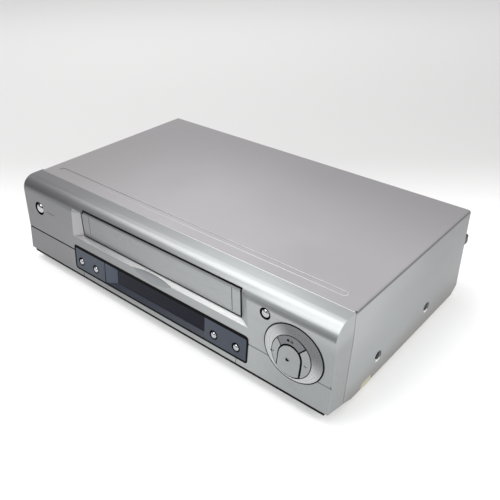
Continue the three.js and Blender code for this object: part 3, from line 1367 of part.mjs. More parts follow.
function loadingBracket(side) {
  const wall = block(
    ...span(side, BRACKET_INNER_HALF, BRACKET_OUTER_HALF),
    BRACKET_FRONT_Y, BRACKET_REAR_Y, SEAT_Z, HEIGHT - BRACKET_TOP_DROP,
  );
  const flange = block(
    ...span(side, BRACKET_INNER_HALF, BRACKET_OUTER_HALF + BRACKET_FLANGE), BRACKET_FRONT_Y, BRACKET_REAR_Y,
    SEAT_Z, SEAT_Z + BRACKET_SHEET,
  );
  const [first, last] = FRAME_PIN_YS;
  const slot = block(
    ...span(side, BRACKET_INNER_HALF - CUT_PAST, BRACKET_OUTER_HALF + CUT_PAST),
    first - PIN_SLOT, last + TRAY_TRAVEL + PIN_SLOT, FRAME_PIN_Z - PIN_SLOT, FRAME_PIN_Z + PIN_SLOT,
  );
  return cut(join(wall, flange), slot);
}

function carriageFrame() {
  const bridgeZ = TRAY_TOP_Z + TRAY_SHEET + FRAME_HEADROOM;
  const parts = [block(
    MECH_X - FRAME_OUTER_HALF, MECH_X + FRAME_OUTER_HALF, FRAME_BRIDGE_FRONT_Y, FRAME_REAR_Y,
    bridgeZ, bridgeZ + FRAME_SHEET,
  )];
  const slots = [];
  for (const side of [-1, 1]) {
    parts.push(block(
      ...span(side, FRAME_INNER_HALF, FRAME_OUTER_HALF), FRAME_FRONT_Y, FRAME_REAR_Y,
      FRAME_FOOT_Z, bridgeZ + FRAME_SHEET,
    ));
    for (const y of FRAME_PIN_YS) {
      const [from, to] = span(side, FRAME_INNER_HALF, BRACKET_OUTER_HALF);
      parts.push(rod("x", y, FRAME_PIN_Z, GUIDE_PIN_RADIUS, from, to, SMALL_SIDES));
    }
    slots.push(block(
      ...span(side, FRAME_INNER_HALF - CUT_PAST, FRAME_OUTER_HALF + CUT_PAST),
      TRAY_PIN_Y - PIN_SLOT, TRAY_PIN_Y + PIN_SLOT, TRAY_SLOT_Z, TRAY_PIN_Z + PIN_SLOT,
    ));
  }
  return cut(join(...parts), ...slots);
}

function cassetteTray() {
  const parts = [block(
    MECH_X - TRAY_OUTER_HALF, MECH_X + TRAY_OUTER_HALF, TRAY_FRONT_Y, TRAY_REAR_Y,
    TRAY_TOP_Z, TRAY_TOP_Z + TRAY_SHEET,
  )];
  const floorZ = CASSETTE_FLOOR_Z - TRAY_SHEET;
  for (const side of [-1, 1]) {
    const [wallFrom, wallTo] = span(side, TRAY_INNER_HALF, TRAY_OUTER_HALF);
    const [ledgeFrom, ledgeTo] = span(side, TRAY_INNER_HALF - TRAY_LEDGE, TRAY_OUTER_HALF);
    const [pinFrom, pinTo] = span(side, TRAY_INNER_HALF, FRAME_OUTER_HALF);
    parts.push(block(wallFrom, wallTo, TRAY_FRONT_Y, TRAY_REAR_Y, floorZ, TRAY_TOP_Z + TRAY_SHEET));
    parts.push(block(ledgeFrom, ledgeTo, TRAY_FRONT_Y, TRAY_LEDGE_REAR_Y, floorZ, CASSETTE_FLOOR_Z));
    parts.push(rod("x", TRAY_PIN_Y, TRAY_PIN_Z, GUIDE_PIN_RADIUS, pinFrom, pinTo, SMALL_SIDES));
  }
  return join(...parts);
}

// Reel tables: toothed disc edge, spindle and three splines
function reelTable() {
  const top = REEL_SPINDLE_TOP_Z - SEAT_Z;
  const body = turned([
    [0, 0],
    [REEL_DISC_RADIUS, 0],
    [REEL_DISC_RADIUS, REEL_DISC_THICK],
    [REEL_SPINDLE_RADIUS, REEL_DISC_THICK],
    [REEL_SPINDLE_RADIUS, top - REEL_SPINDLE_RADIUS / 2],
    [REEL_SPINDLE_RADIUS / 2, top],
    [0, top],
  ]);
  const splines = [];
  for (let i = 0; i < REEL_SPLINE_COUNT; i += 1) {
    const spline = block(
      REEL_SPINDLE_RADIUS - REEL_SPLINE, REEL_SPINDLE_RADIUS + REEL_SPLINE, -REEL_SPLINE / 2, REEL_SPLINE / 2,
      REEL_DISC_THICK - REST_GAP, top - REEL_SPINDLE_RADIUS / 2,
    );
    splines.push(spline.rotateZ((Math.PI * 2 * i) / REEL_SPLINE_COUNT));
  }
  return join(body, ...splines);
}

// Head drum: lower half on its base, upper half turning on the tilted axis
const DRUM_LEAN = THREE.MathUtils.degToRad(DRUM_TILT);

function lowerDrum() {
  const tilted = rod("z", 0, 0, DRUM_RADIUS, LOWER_DRUM_FOOT, LOWER_DRUM_TOP, WIDE_SIDES).rotateX(DRUM_LEAN);
  return join(tilted, rod("z", 0, 0, DRUM_BASE_RADIUS, 0, DRUM_BASE_HEIGHT));
}

function upperDrum() {
  return turned([
    [0, LOWER_DRUM_TOP + UPPER_DRUM_GAP],
    [DRUM_RADIUS, LOWER_DRUM_TOP + UPPER_DRUM_GAP],
    [DRUM_RADIUS, UPPER_DRUM_TOP - DRUM_CHAMFER],
    [DRUM_RADIUS - DRUM_CHAMFER, UPPER_DRUM_TOP],
    [DRUM_CAP_RADIUS, UPPER_DRUM_TOP],
    [DRUM_CAP_RADIUS, UPPER_DRUM_TOP + DRUM_CAP_HEIGHT],
    [0, UPPER_DRUM_TOP + DRUM_CAP_HEIGHT],
  ], WIDE_SIDES);
}

// Capstan under the deck: stator plate, flywheel with pulley and shaft, belt and clutch
const STATOR_Z = DECK_Z - REST_GAP - STATOR_THICK;
const FLYWHEEL_TOP_Z = STATOR_Z - REST_GAP;
const FLYWHEEL_Z = FLYWHEEL_TOP_Z - FLYWHEEL_THICK;
const PULLEY_Z = FLYWHEEL_Z - PULLEY_THICK;
const BELT_Z = PULLEY_Z + (PULLEY_THICK - BELT_WIDTH) / 2;

function capstanStator() {
  return cut(
    rod("z", CAPSTAN_X, CAPSTAN_Y, STATOR_RADIUS, STATOR_Z, STATOR_Z + STATOR_THICK, WIDE_SIDES),
    deckHole(CAPSTAN_X, CAPSTAN_Y, CAPSTAN_HOLE_RADIUS),
  );
}

function capstan() {
  return turned([
    [0, PULLEY_Z],
    [CAPSTAN_PULLEY_RADIUS, PULLEY_Z],
    [CAPSTAN_PULLEY_RADIUS, FLYWHEEL_Z],
    [FLYWHEEL_RADIUS, FLYWHEEL_Z],
    [FLYWHEEL_RADIUS, FLYWHEEL_TOP_Z],
    [CAPSTAN_RADIUS, FLYWHEEL_TOP_Z],
    [CAPSTAN_RADIUS, CAPSTAN_TOP_Z],
    [0, CAPSTAN_TOP_Z],
  ], WIDE_SIDES);
}

function clutchPulley() {
  return turned([
    [0, PULLEY_Z],
    [CLUTCH_RADIUS, PULLEY_Z],
    [CLUTCH_RADIUS, PULLEY_Z + PULLEY_THICK],
    [CLUTCH_AXLE_RADIUS, PULLEY_Z + PULLEY_THICK],
    [CLUTCH_AXLE_RADIUS, SEAT_Z],
    [CLUTCH_GEAR_RADIUS, SEAT_Z],
    [CLUTCH_GEAR_RADIUS, SEAT_Z + CLUTCH_GEAR_THICK],
    [0, SEAT_Z + CLUTCH_GEAR_THICK],
  ]);
}

// The belt's outline: the hull of two circles, with the straight runs along their outer tangents.
function beltOutline(grow) {
  const dx = CAPSTAN_X - MECH_X;
  const dy = CAPSTAN_Y - CLUTCH_Y;
  const apart = Math.hypot(dx, dy);
  const heading = Math.atan2(dy, dx);
  const opening = Math.acos((CLUTCH_RADIUS - CAPSTAN_PULLEY_RADIUS) / apart);
  const points = [];
  for (let i = 0; i <= SMALL_SIDES; i += 1) {
    const angle = heading - opening + (2 * opening * i) / SMALL_SIDES;
    const radius = CAPSTAN_PULLEY_RADIUS + grow;
    points.push([CAPSTAN_X + radius * Math.cos(angle), CAPSTAN_Y + radius * Math.sin(angle)]);
  }
  for (let i = 0; i <= SMALL_SIDES; i += 1) {
    const angle = heading + opening + (2 * (Math.PI - opening) * i) / SMALL_SIDES;
    const radius = CLUTCH_RADIUS + grow;
    points.push([MECH_X + radius * Math.cos(angle), CLUTCH_Y + radius * Math.sin(angle)]);
  }
  return outline(points);
}

function capstanBelt() {
  return cut(
    prism("z", beltOutline(REST_GAP + BELT_THICK), BELT_Z, BELT_Z + BELT_WIDTH),
    prism("z", beltOutline(REST_GAP), BELT_Z - CUT_PAST, BELT_Z + CUT_PAST),
  );
}

// Pinch roller on its arm, swung clear of the capstan while no tape is in
const PINCH_PIVOT_X = CAPSTAN_X + PINCH_PIVOT_ASIDE;
const PINCH_PIVOT_Y = CAPSTAN_Y + PINCH_PIVOT_BEHIND;
const PINCH_REACH_X = CAPSTAN_X - PINCH_PIVOT_X;
const PINCH_REACH_Y = CAPSTAN_Y - CAPSTAN_RADIUS - PINCH_ROLLER_RADIUS - PINCH_PRESS_GAP - PINCH_PIVOT_Y;
const PINCH_ARM_LENGTH = Math.hypot(PINCH_REACH_X, PINCH_REACH_Y);
const PINCH_ANGLE = Math.atan2(PINCH_REACH_Y, PINCH_REACH_X) + THREE.MathUtils.degToRad(PINCH_SWING);
const PINCH_ROLLER_X = PINCH_PIVOT_X + PINCH_ARM_LENGTH * Math.cos(PINCH_ANGLE);
const PINCH_ROLLER_Y = PINCH_PIVOT_Y + PINCH_ARM_LENGTH * Math.sin(PINCH_ANGLE);
const PINCH_ROLLER_Z = SEAT_Z + PINCH_ARM_THICK + REST_GAP;

function pinchArm() {
  const bar = block(
    0, PINCH_ARM_LENGTH, -PINCH_ARM_HALF_WIDTH, PINCH_ARM_HALF_WIDTH, SEAT_Z, SEAT_Z + PINCH_ARM_THICK,
  ).rotateZ(PINCH_ANGLE).translate(PINCH_PIVOT_X, PINCH_PIVOT_Y, 0);
  return join(
    bar,
    rod("z", PINCH_PIVOT_X, PINCH_PIVOT_Y, PINCH_BOSS_RADIUS, SEAT_Z, PINCH_ROLLER_Z + PINCH_BOSS_RADIUS),
    rod(
      "z", PINCH_ROLLER_X, PINCH_ROLLER_Y, PINCH_AXLE_RADIUS,
      SEAT_Z, PINCH_ROLLER_Z + PINCH_ROLLER_HEIGHT + PINCH_AXLE_RADIUS, SMALL_SIDES,
    ),
  );
}

function pinchRoller() {
  const top = PINCH_ROLLER_Z + PINCH_ROLLER_HEIGHT;
  return cut(
    rod("z", PINCH_ROLLER_X, PINCH_ROLLER_Y, PINCH_ROLLER_RADIUS, PINCH_ROLLER_Z, top),
    rod(
      "z", PINCH_ROLLER_X, PINCH_ROLLER_Y, PINCH_AXLE_RADIUS + REST_GAP,
      PINCH_ROLLER_Z - CUT_PAST, top + CUT_PAST, SMALL_SIDES,
    ),
  );
}

// Cam gear with its worm and motor, which drives the tape guides and the pinch arm
function camGear() {
  const step = (Math.PI * 2) / CAM_TEETH;
  const points = [];
  for (let i = 0; i < CAM_TEETH; i += 1) {
    for (const [along, down] of CAM_TOOTH_SHARES) {
      const angle = (i + along) * step;
      const radius = CAM_RADIUS - CAM_TOOTH * down;
      points.push([CAM_X + radius * Math.cos(angle), CAM_Y + radius * Math.sin(angle)]);
    }
  }
  return join(
    prism("z", outline(points), CAM_FOOT_Z, CAM_FOOT_Z + CAM_THICK),
    rod("z", CAM_X, CAM_Y, CAM_HUB_RADIUS, SEAT_Z, CAM_FOOT_Z + REST_GAP),
    rod("z", CAM_X, CAM_Y, CAM_BOSS_RADIUS, CAM_FOOT_Z, CAM_FOOT_Z + CAM_THICK * 2, SMALL_SIDES),
  );
}

const WORM_X = CAM_X - CAM_RADIUS - REST_GAP - WORM_RADIUS;
const WORM_Z = CAM_FOOT_Z + CAM_THICK / 2;
const WORM_REAR_Y = CAM_Y + WORM_LENGTH / 2;
const MOTOR_Y = WORM_REAR_Y + MOTOR_GAP;

function loadingWorm() {
  return join(
    rod("y", WORM_X, WORM_Z, WORM_RADIUS, WORM_REAR_Y - WORM_LENGTH, WORM_REAR_Y),
    rod("y", WORM_X, WORM_Z, WORM_SHAFT_RADIUS, WORM_REAR_Y - REST_GAP, MOTOR_Y - REST_GAP, SMALL_SIDES),
  );
}

function loadingMotor() {
  const foot = block(
    WORM_X - MOTOR_FOOT_HALF, WORM_X + MOTOR_FOOT_HALF, MOTOR_Y, MOTOR_Y + MOTOR_LENGTH, SEAT_Z, WORM_Z,
  );
  return join(rod("y", WORM_X, WORM_Z, MOTOR_RADIUS, MOTOR_Y, MOTOR_Y + MOTOR_LENGTH), foot);
}

// Tape guide: base on the deck, roller post on top, tail through the deck's slot
function tapeGuide(side) {
  const x = MECH_X + side * GUIDE_START_X;
  const top = SEAT_Z + GUIDE_BASE_HEIGHT;
  return join(
    block(
      x - GUIDE_BASE_HALF, x + GUIDE_BASE_HALF,
      GUIDE_START_Y - GUIDE_BASE_HALF, GUIDE_START_Y + GUIDE_BASE_HALF, SEAT_Z, top,
    ),
    rod("z", x, GUIDE_START_Y, GUIDE_ROLLER_RADIUS, top - REST_GAP, GUIDE_TOP_Z, SMALL_SIDES),
    rod("z", x, GUIDE_START_Y, GUIDE_PIN_RADIUS, SEAT_Z - GUIDE_TAIL_LENGTH, SEAT_Z + REST_GAP, SMALL_SIDES),
  );
}

function fixedHead(half) {
  const tall = HEAD_TOP_Z - SEAT_Z;
  return join(
    block(-HEAD_FOOT_HALF, HEAD_FOOT_HALF, -HEAD_FOOT_HALF, HEAD_FOOT_HALF, 0, HEAD_FOOT_HEIGHT),
    block(-half, half, -half, half, 0, tall),
  );
}

// Everything in its place
piece("front_bezel", frontMoulding(), SILVER);
piece("cassette_flap", flap(), SILVER);
piece("flap_spring", doorSpring(), STEEL);
piece("display_panel", displayPanel(), PANEL_BLUE, PANEL_PLACE);
piece("display_window", displayLens(), DARK_GLASS, PANEL_PLACE);

const SMALL_BUTTON_NAMES = ["channel_down_button", "channel_up_button", "monitor_button", "record_button"];
const smallReach = stemReach(PANEL_PLACE, SMALL_BUTTON_UP);
const panelUpY = -SMALL_BUTTON_UP * Math.sin(PANEL_PLACE.tilt);
const panelUpZ = SMALL_BUTTON_UP * Math.cos(PANEL_PLACE.tilt);
SMALL_BUTTON_NAMES.forEach((name, i) => {
  piece(name, roundButton(SMALL_BUTTON_RADIUS, SMALL_HOLE_RADIUS, PANEL_THICK, smallReach), CHROME, {
    x: SMALL_BUTTON_XS[i],
    y: PANEL_PLACE.y + panelUpY,
    z: PANEL_PLACE.z + panelUpZ,
    tilt: PANEL_PLACE.tilt,
  });
});
const power = roundButton(POWER_RADIUS, POWER_RADIUS + BUTTON_GAP, FRONT_WALL, stemReach(POWER_PLACE, 0));
const eject = roundButton(EJECT_RADIUS, EJECT_RADIUS + BUTTON_GAP, FRONT_WALL, stemReach(EJECT_PLACE, 0));
piece("power_button", power, SILVER, POWER_PLACE);
piece("eject_button", eject, SILVER, EJECT_PLACE);

const { dish, play, stop, rewind, forward } = dishPieces();
piece("control_dish", dish, SILVER, DISH_PLACE);
piece("play_button", play, SILVER, DISH_PLACE);
piece("stop_button", stop, SILVER, DISH_PLACE);
piece("rewind_button", rewind, SILVER, DISH_PLACE);
piece("forward_button", forward, SILVER, DISH_PLACE);

piece("top_cover", cover(), COVER_GREY);
for (const [side, word] of [[-1, "left"], [1, "right"]]) {
  SIDE_SCREW_YS.forEach((y, i) => {
    piece(`${word}_screw_${i + 1}`, sideScrew(side), STEEL, { y, z: SIDE_SCREW_Z });
  });
  const footX = side * (RIGHT_X - FOOT_TO_SIDE);
  piece(`${word}_front_foot`, foot(), RUBBER, { x: footX, y: FOOT_FRONT_Y });
  piece(`${word}_rear_foot`, foot(), RUBBER, { x: footX, y: CASE_DEPTH - FOOT_TO_REAR });
  piece(`${word}_loading_bracket`, loadingBracket(side), STEEL);
  piece(`${word}_tape_guide`, tapeGuide(side), BRASS);
}

piece("chassis", chassis(), CREAM);
piece("front_board", frontBoard(), BOARD_GREEN);
piece("display_tube", displayTube(), DARK_GLASS);
piece("main_board", mainBoard(), BOARD_GREEN);
piece("power_transformer", transformer(), COPPER, {
  x: CHASSIS_WALL + TRANSFORMER_GAP + CORE_HALF_WIDTH - CHASSIS_HALF,
  y: TRANSFORMER_Y,
  z: ON_BOARD_Z,
});
piece("heat_sink", heatSink(), STEEL, { x: LEFT_X + SINK_TO_SIDE, y: SINK_Y, z: ON_BOARD_Z });
piece("mains_capacitor", rod(
  "z", LEFT_X + MAINS_CAN_TO_SIDE, MAINS_CAN_Y, MAINS_CAN_RADIUS, ON_BOARD_Z, ON_BOARD_Z + MAINS_CAN_HEIGHT,
), BLACK);
piece("rear_panel", rearPanel(), BLACK);
piece("aerial_block", aerialBlock(), BLACK);
SCART_XS.forEach((x, i) => {
  piece(`scart_socket_${i + 1}`, scartSocket(x), BLACK);
});
piece("audio_sockets", audioSockets(), BLACK);
piece("mains_inlet", mainsInlet(), BLACK);

piece("deck_plate", deckPlate(), STEEL);
piece("carriage_frame", carriageFrame(), STEEL);
piece("cassette_tray", cassetteTray(), STEEL);
piece("supply_reel_table", reelTable(), WHITE_PLASTIC, { x: MECH_X - REEL_HALF_PITCH, y: REEL_Y, z: SEAT_Z });
piece("takeup_reel_table", reelTable(), WHITE_PLASTIC, { x: MECH_X + REEL_HALF_PITCH, y: REEL_Y, z: SEAT_Z });
piece("lower_drum", lowerDrum(), STEEL, { x: MECH_X, y: DRUM_Y, z: SEAT_Z });
piece("upper_drum", upperDrum(), STEEL, { x: MECH_X, y: DRUM_Y, z: SEAT_Z, tilt: DRUM_LEAN });
piece("capstan_stator", capstanStator(), STEEL);
piece("capstan_flywheel", capstan(), BRASS, { x: CAPSTAN_X, y: CAPSTAN_Y });
piece("clutch_pulley", clutchPulley(), WHITE_PLASTIC, { x: MECH_X, y: CLUTCH_Y });
piece("capstan_belt", capstanBelt(), RUBBER);
piece("pinch_arm", pinchArm(), STEEL);
piece("pinch_roller", pinchRoller(), RUBBER);
piece("cam_gear", camGear(), WHITE_PLASTIC);
piece("loading_worm", loadingWorm(), BRASS);
piece("loading_motor", loadingMotor(), STEEL);
piece("erase_head", fixedHead(ERASE_HEAD_HALF), STEEL, { x: ERASE_HEAD_X, y: ERASE_HEAD_Y, z: SEAT_Z });
piece("audio_head", fixedHead(AUDIO_HEAD_HALF), STEEL, { x: AUDIO_HEAD_X, y: AUDIO_HEAD_Y, z: SEAT_Z });

export default model;
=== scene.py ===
"""A silver video cassette recorder, dressed over its frame of solids."""

import bmesh
import bpy
import json
from math import cos, hypot, pi, radians, sin, tan
from mathutils import Matrix, Vector

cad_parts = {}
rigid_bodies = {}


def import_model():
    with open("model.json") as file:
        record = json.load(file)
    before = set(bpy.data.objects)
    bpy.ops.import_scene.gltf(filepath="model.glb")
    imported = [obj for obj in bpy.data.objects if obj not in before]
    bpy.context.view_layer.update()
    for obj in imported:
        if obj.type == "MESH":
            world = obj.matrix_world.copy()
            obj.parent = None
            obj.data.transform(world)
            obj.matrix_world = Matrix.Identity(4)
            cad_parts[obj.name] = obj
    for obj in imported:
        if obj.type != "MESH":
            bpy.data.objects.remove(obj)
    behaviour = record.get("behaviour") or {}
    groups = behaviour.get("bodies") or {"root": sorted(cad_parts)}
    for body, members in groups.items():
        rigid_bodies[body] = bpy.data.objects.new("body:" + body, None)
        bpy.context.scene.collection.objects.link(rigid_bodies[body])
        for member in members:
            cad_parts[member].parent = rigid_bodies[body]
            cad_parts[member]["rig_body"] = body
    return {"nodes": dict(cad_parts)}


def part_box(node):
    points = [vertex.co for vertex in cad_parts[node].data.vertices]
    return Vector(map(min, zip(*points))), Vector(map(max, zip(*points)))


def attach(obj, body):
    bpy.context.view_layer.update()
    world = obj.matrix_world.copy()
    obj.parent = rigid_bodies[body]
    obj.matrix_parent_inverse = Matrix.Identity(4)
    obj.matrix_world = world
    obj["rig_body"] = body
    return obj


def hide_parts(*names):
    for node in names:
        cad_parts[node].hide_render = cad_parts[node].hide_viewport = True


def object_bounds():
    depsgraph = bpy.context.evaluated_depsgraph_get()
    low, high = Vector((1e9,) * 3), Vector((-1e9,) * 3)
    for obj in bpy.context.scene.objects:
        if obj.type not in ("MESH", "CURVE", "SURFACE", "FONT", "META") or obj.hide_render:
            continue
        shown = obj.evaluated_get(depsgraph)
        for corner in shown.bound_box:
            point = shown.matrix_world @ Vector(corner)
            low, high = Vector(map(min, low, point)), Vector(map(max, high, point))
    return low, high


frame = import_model()
SOLID_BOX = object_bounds()
MM = 0.001

# Places in mm and leans in degrees, as the solids have them.
FRONT_Y, REAR_Y = SOLID_BOX[0].y / MM, SOLID_BOX[1].y / MM
TOP_Z, SIDE_X = SOLID_BOX[1].z / MM, 190
PANEL_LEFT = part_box("display_panel")[0].x / MM
PANEL_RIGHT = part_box("display_panel")[1].x / MM
PANEL_LEAN = 4.708
DISH_LEAN = 2.897
DISH_X, DISH_Y, DISH_Z = 154.6, 2.64, 51.5
DISH_HALF, DISH_DEPTH = (27.3, 25), 2.6
BROW_RADIUS, BROW_BACK, BROW_FOOT = 13.4, 17.4, 79
# The front's face runs from its foot back to its groove, and from there to the brow.
FACE_FOOT, GROOVE_Z = 12.3, 37.1
GROOVE_BACK, FACE_BACK = 2.4, 4.0
FOOT_LEAN, GROOVE_LEAN, FACE_LEAN = 5.5, 3.587, 2.187
DOOR_Y = 8.287
# The span of the painted shadow under the brow's lip, in mm.
LIP_SHADOW = (-94.6, 102.6)
DOOR_LINES = (-90.8, 89.2)
WINDOW = (-67.3, 63.2)
PANEL_KEYS = ("channel_down_button", "channel_up_button", "monitor_button", "record_button")
# Each round key: its radius, its well's radius and the lean of the face round it.
ROUND_KEYS = (
    *((node, 3.1, 4.28, PANEL_LEAN) for node in PANEL_KEYS),
    ("power_button", 5.7, 7.07, FACE_LEAN),
    ("eject_button", 3.9, 5.17, FACE_LEAN),
)
SIDES = (("left", -1), ("right", 1))
# The leans of a face that looks up and of one that looks to the rear.
UPWARD, REARWARD = 90, 180
# How far the back of a thin mark is let into the face that carries it.
LET_IN = 0.02
# Edges that turn by more than the first angle are rounded, by more than the second are crisp.
ROUNDED_ABOVE, SHARP_ABOVE = 28, 40


# ---------------------------------------------------------------- finishes

class Value:
    """A number inside a finish: arithmetic on it adds Math nodes."""

    def __init__(self, finish, socket):
        self.finish = finish
        self.socket = socket

    def maths(self, operation, first, second):
        """The value that a Math node makes of two others."""
        return self.finish.node(
            "ShaderNodeMath", {"operation": operation}, {0: first, 1: second}
        )

    def __add__(self, other):
        return self.maths("ADD", self, other)

    def __radd__(self, other):
        return self.maths("ADD", other, self)

    def __sub__(self, other):
        return self.maths("SUBTRACT", self, other)

    def __rsub__(self, other):
        return self.maths("SUBTRACT", other, self)

    def __mul__(self, other):
        return self.maths("MULTIPLY", self, other)

    def __rmul__(self, other):
        return self.maths("MULTIPLY", other, self)

    def __truediv__(self, other):
        return self.maths("DIVIDE", self, other)

    def __rtruediv__(self, other):
        return self.maths("DIVIDE", other, self)


def tone(code):
    """A colour written as the eye sees it, turned into the light it returns."""
    parts = [(code >> shift & 255) / 255 for shift in (16, 8, 0)]
    light = [p / 12.92 if p <= 0.04045 else ((p + 0.055) / 1.055) ** 2.4 for p in parts]
    return [*light, 1.0]


def shade(base, share, *tints):
    """A colour taken down or up by a share, each channel tinted where tints are given."""
    return [min(1, c * share * t) for c, t in zip(base, tints or (1, 1, 1))] + [1]


class Nodes:
    """A tree of nodes, and the ways of adding to it that the finishes and the room share."""

    def __init__(self, tree, coordinates):
        self.tree = tree
        self.place = self.node("ShaderNodeTexCoord", {}, {}, coordinates)

    def node(self, kind, settings, sockets, output=0):
        """A node of this kind: its settings first, then its sockets' values and links."""
        made = self.tree.nodes.new(kind)
        for name, value in settings.items():
            setattr(made, name, value)
        for name, value in sockets.items():
            if isinstance(value, Value):
                self.tree.links.new(value.socket, made.inputs[name])
            else:
                made.inputs[name].default_value = value
        return Value(self, made.outputs[output])

    def axis(self, which):
        """The place along X, Y or Z, in metres."""
        return self.node("ShaderNodeSeparateXYZ", {}, {0: self.place}, which)

    def noise(self, scale, detail, stretch=(1, 1, 1)):
        """Soft specks, one over scale metres wide, drawn out along the axes given less."""
        at = self.node("ShaderNodeMapping", {}, {"Vector": self.place, "Scale": stretch})
        return self.node(
            "ShaderNodeTexNoise", {}, {"Vector": at, "Scale": scale, "Detail": detail}, "Fac"
        )

    def between(self, value, low, high):
        """0 below low, 1 above high, and a smooth step between them."""
        return self.node(
            "ShaderNodeMapRange",
            {"interpolation_type": "SMOOTHSTEP"},
            {"Value": value, "From Min": low, "From Max": high},
        )

    def band(self, value, start, end, soft):
        """1 between start and end, with soft edges."""
        return self.between(value, start - soft, start + soft) * (
            1 - self.between(value, end - soft, end + soft)
        )

    def mix(self, share, first, second):
        """The first colour, giving way to the second by a share."""
        return self.node(
            "ShaderNodeMix",
            {"data_type": "RGBA"},
            {"Factor": share, 6: first, 7: second},
            2,
        )

    def bump(self, height, strength, distance):
        """The lie of a surface whose texture stands this many metres high."""
        return self.node(
            "ShaderNodeBump", {},
            {"Strength": strength, "Distance": distance, "Height": height},
        )


class Finish(Nodes):
    """A surface finish: its plain numbers sit on the shader, its patterns come from nodes."""

    def __init__(self, name, **plain):
        self.material = bpy.data.materials.new(name)
        self.material.use_nodes = True
        super().__init__(self.material.node_tree, "Object")
        self.shader = self.tree.nodes["Principled BSDF"]
        for socket, value in plain.items():
            self.shader.inputs[socket.replace("_", " ")].default_value = value

    def feed(self, socket, value):
        """Lets a pattern set one of the shader's sockets."""
        self.tree.links.new(value.socket, self.shader.inputs[socket])

    def edge(self):
        """How near a point is to the crest of a rounded edge."""
        return self.node("ShaderNodeAttribute", {"attribute_name": "crest"}, {}, "Fac")

    def rubbed(self, coat, bare, share, scale=160, low=0.42, high=0.7):
        """The coat, with the crests of its edges rubbed in patches to a bare colour. Where
        that colour is paler than the coat, as on the silver finishes, the pale crests are also
        a painted highlight on the edges.
        """
        patches = self.edge() * self.between(self.noise(scale, 3), low, high)
        return self.mix(patches * share, coat, tone(bare))


def grained(name, colour, roughness, grain, depth, speckle=0.05, wear=0.25, worn=0xD8D8D6,
            stretch=(1, 1, 1), **plain):
    """A finish with a fine grain, faint clouds of dirt and edges rubbed by hands."""
    finish = Finish(name, **plain)
    fine = finish.noise(grain, 3, stretch)
    wide = finish.noise(11, 3)
    smear = finish.noise(46, 4, (1, 0.35, 1))
    base = tone(colour)
    coat = finish.mix(fine, shade(base, 1 - speckle), shade(base, 1 + speckle))
    coat = finish.mix(finish.between(wide, 0.45, 0.75) * 0.5, coat, shade(base, 0.88))
    finish.feed("Base Color", finish.rubbed(coat, worn, wear))
    finish.feed("Roughness", roughness + (smear - 0.5) * 0.16 + (fine - 0.5) * 0.08)
    finish.feed("Normal", finish.bump(fine, 0.35, depth))
    return finish


def silver_paint(name, colour, left_share=0.4):
    """Satin silver paint with metal flake, with painted shade towards the left end and on the
    lower right end of the front, a band of painted dark reflection under the brow, and pale
    edge crests that are partly worn paint and partly a painted highlight.
    """
    finish = Finish(name, Metallic=0.6, Coat_Roughness=0.2, Coat_Weight=0.1)
    across, up = finish.axis("X"), finish.axis("Z")
    flake = finish.noise(5200, 1)
    orange = finish.noise(900, 2)
    wide = finish.noise(9, 3)
    smear = finish.noise(38, 4, (0.35, 1, 1))
    base = tone(colour)
    coat = finish.mix(flake, shade(base, 0.9), shade(base, 1.1))
    coat = finish.mix(finish.between(wide, 0.4, 0.7) * 0.5, coat, shade(base, 0.94))
    # Painted shade: towards the left end the coat darkens to left_share of its colour.
    left_end = 1 - finish.between(across, -0.2, 0.14)
    coat = finish.mix(left_end, coat, shade(base, left_share, 1.03, 0.98, 1.02))
    # Painted dark reflection: a band under the brow, short of the ends, stronger towards the
    # right end.
    shadow_foot, shadow_top, shadow_end = 0.0793, 0.0834, 0.1896
    under_brow = finish.band(up, shadow_foot, shadow_top, 0.0014)
    under_brow = under_brow * finish.band(across, -shadow_end, shadow_end, 0.0002)
    right_end = finish.between(across, 0.08, 0.14)
    coat = finish.mix(under_brow * (0.6 + right_end * 0.3), coat, shade(base, 0.38))
    # Painted shade on the lower right end of the front.
    low_right = finish.between(across, 0.11, 0.16) * (1 - finish.between(up, 0.066, 0.08))
    coat = finish.mix(low_right * 0.7, coat, shade(base, 0.7))
    # The pale crests are worn paint and also a painted highlight.
    finish.feed("Base Color", finish.rubbed(coat, 0xDCDCDA, 0.55, 120, 0.36, 0.62))
    finish.feed("Roughness", 0.3 + (smear - 0.5) * 0.1 + (flake - 0.5) * 0.1)
    finish.feed("Normal", finish.bump(flake * 0.6 + orange * 0.4, 0.12, 0.00006))
    return finish


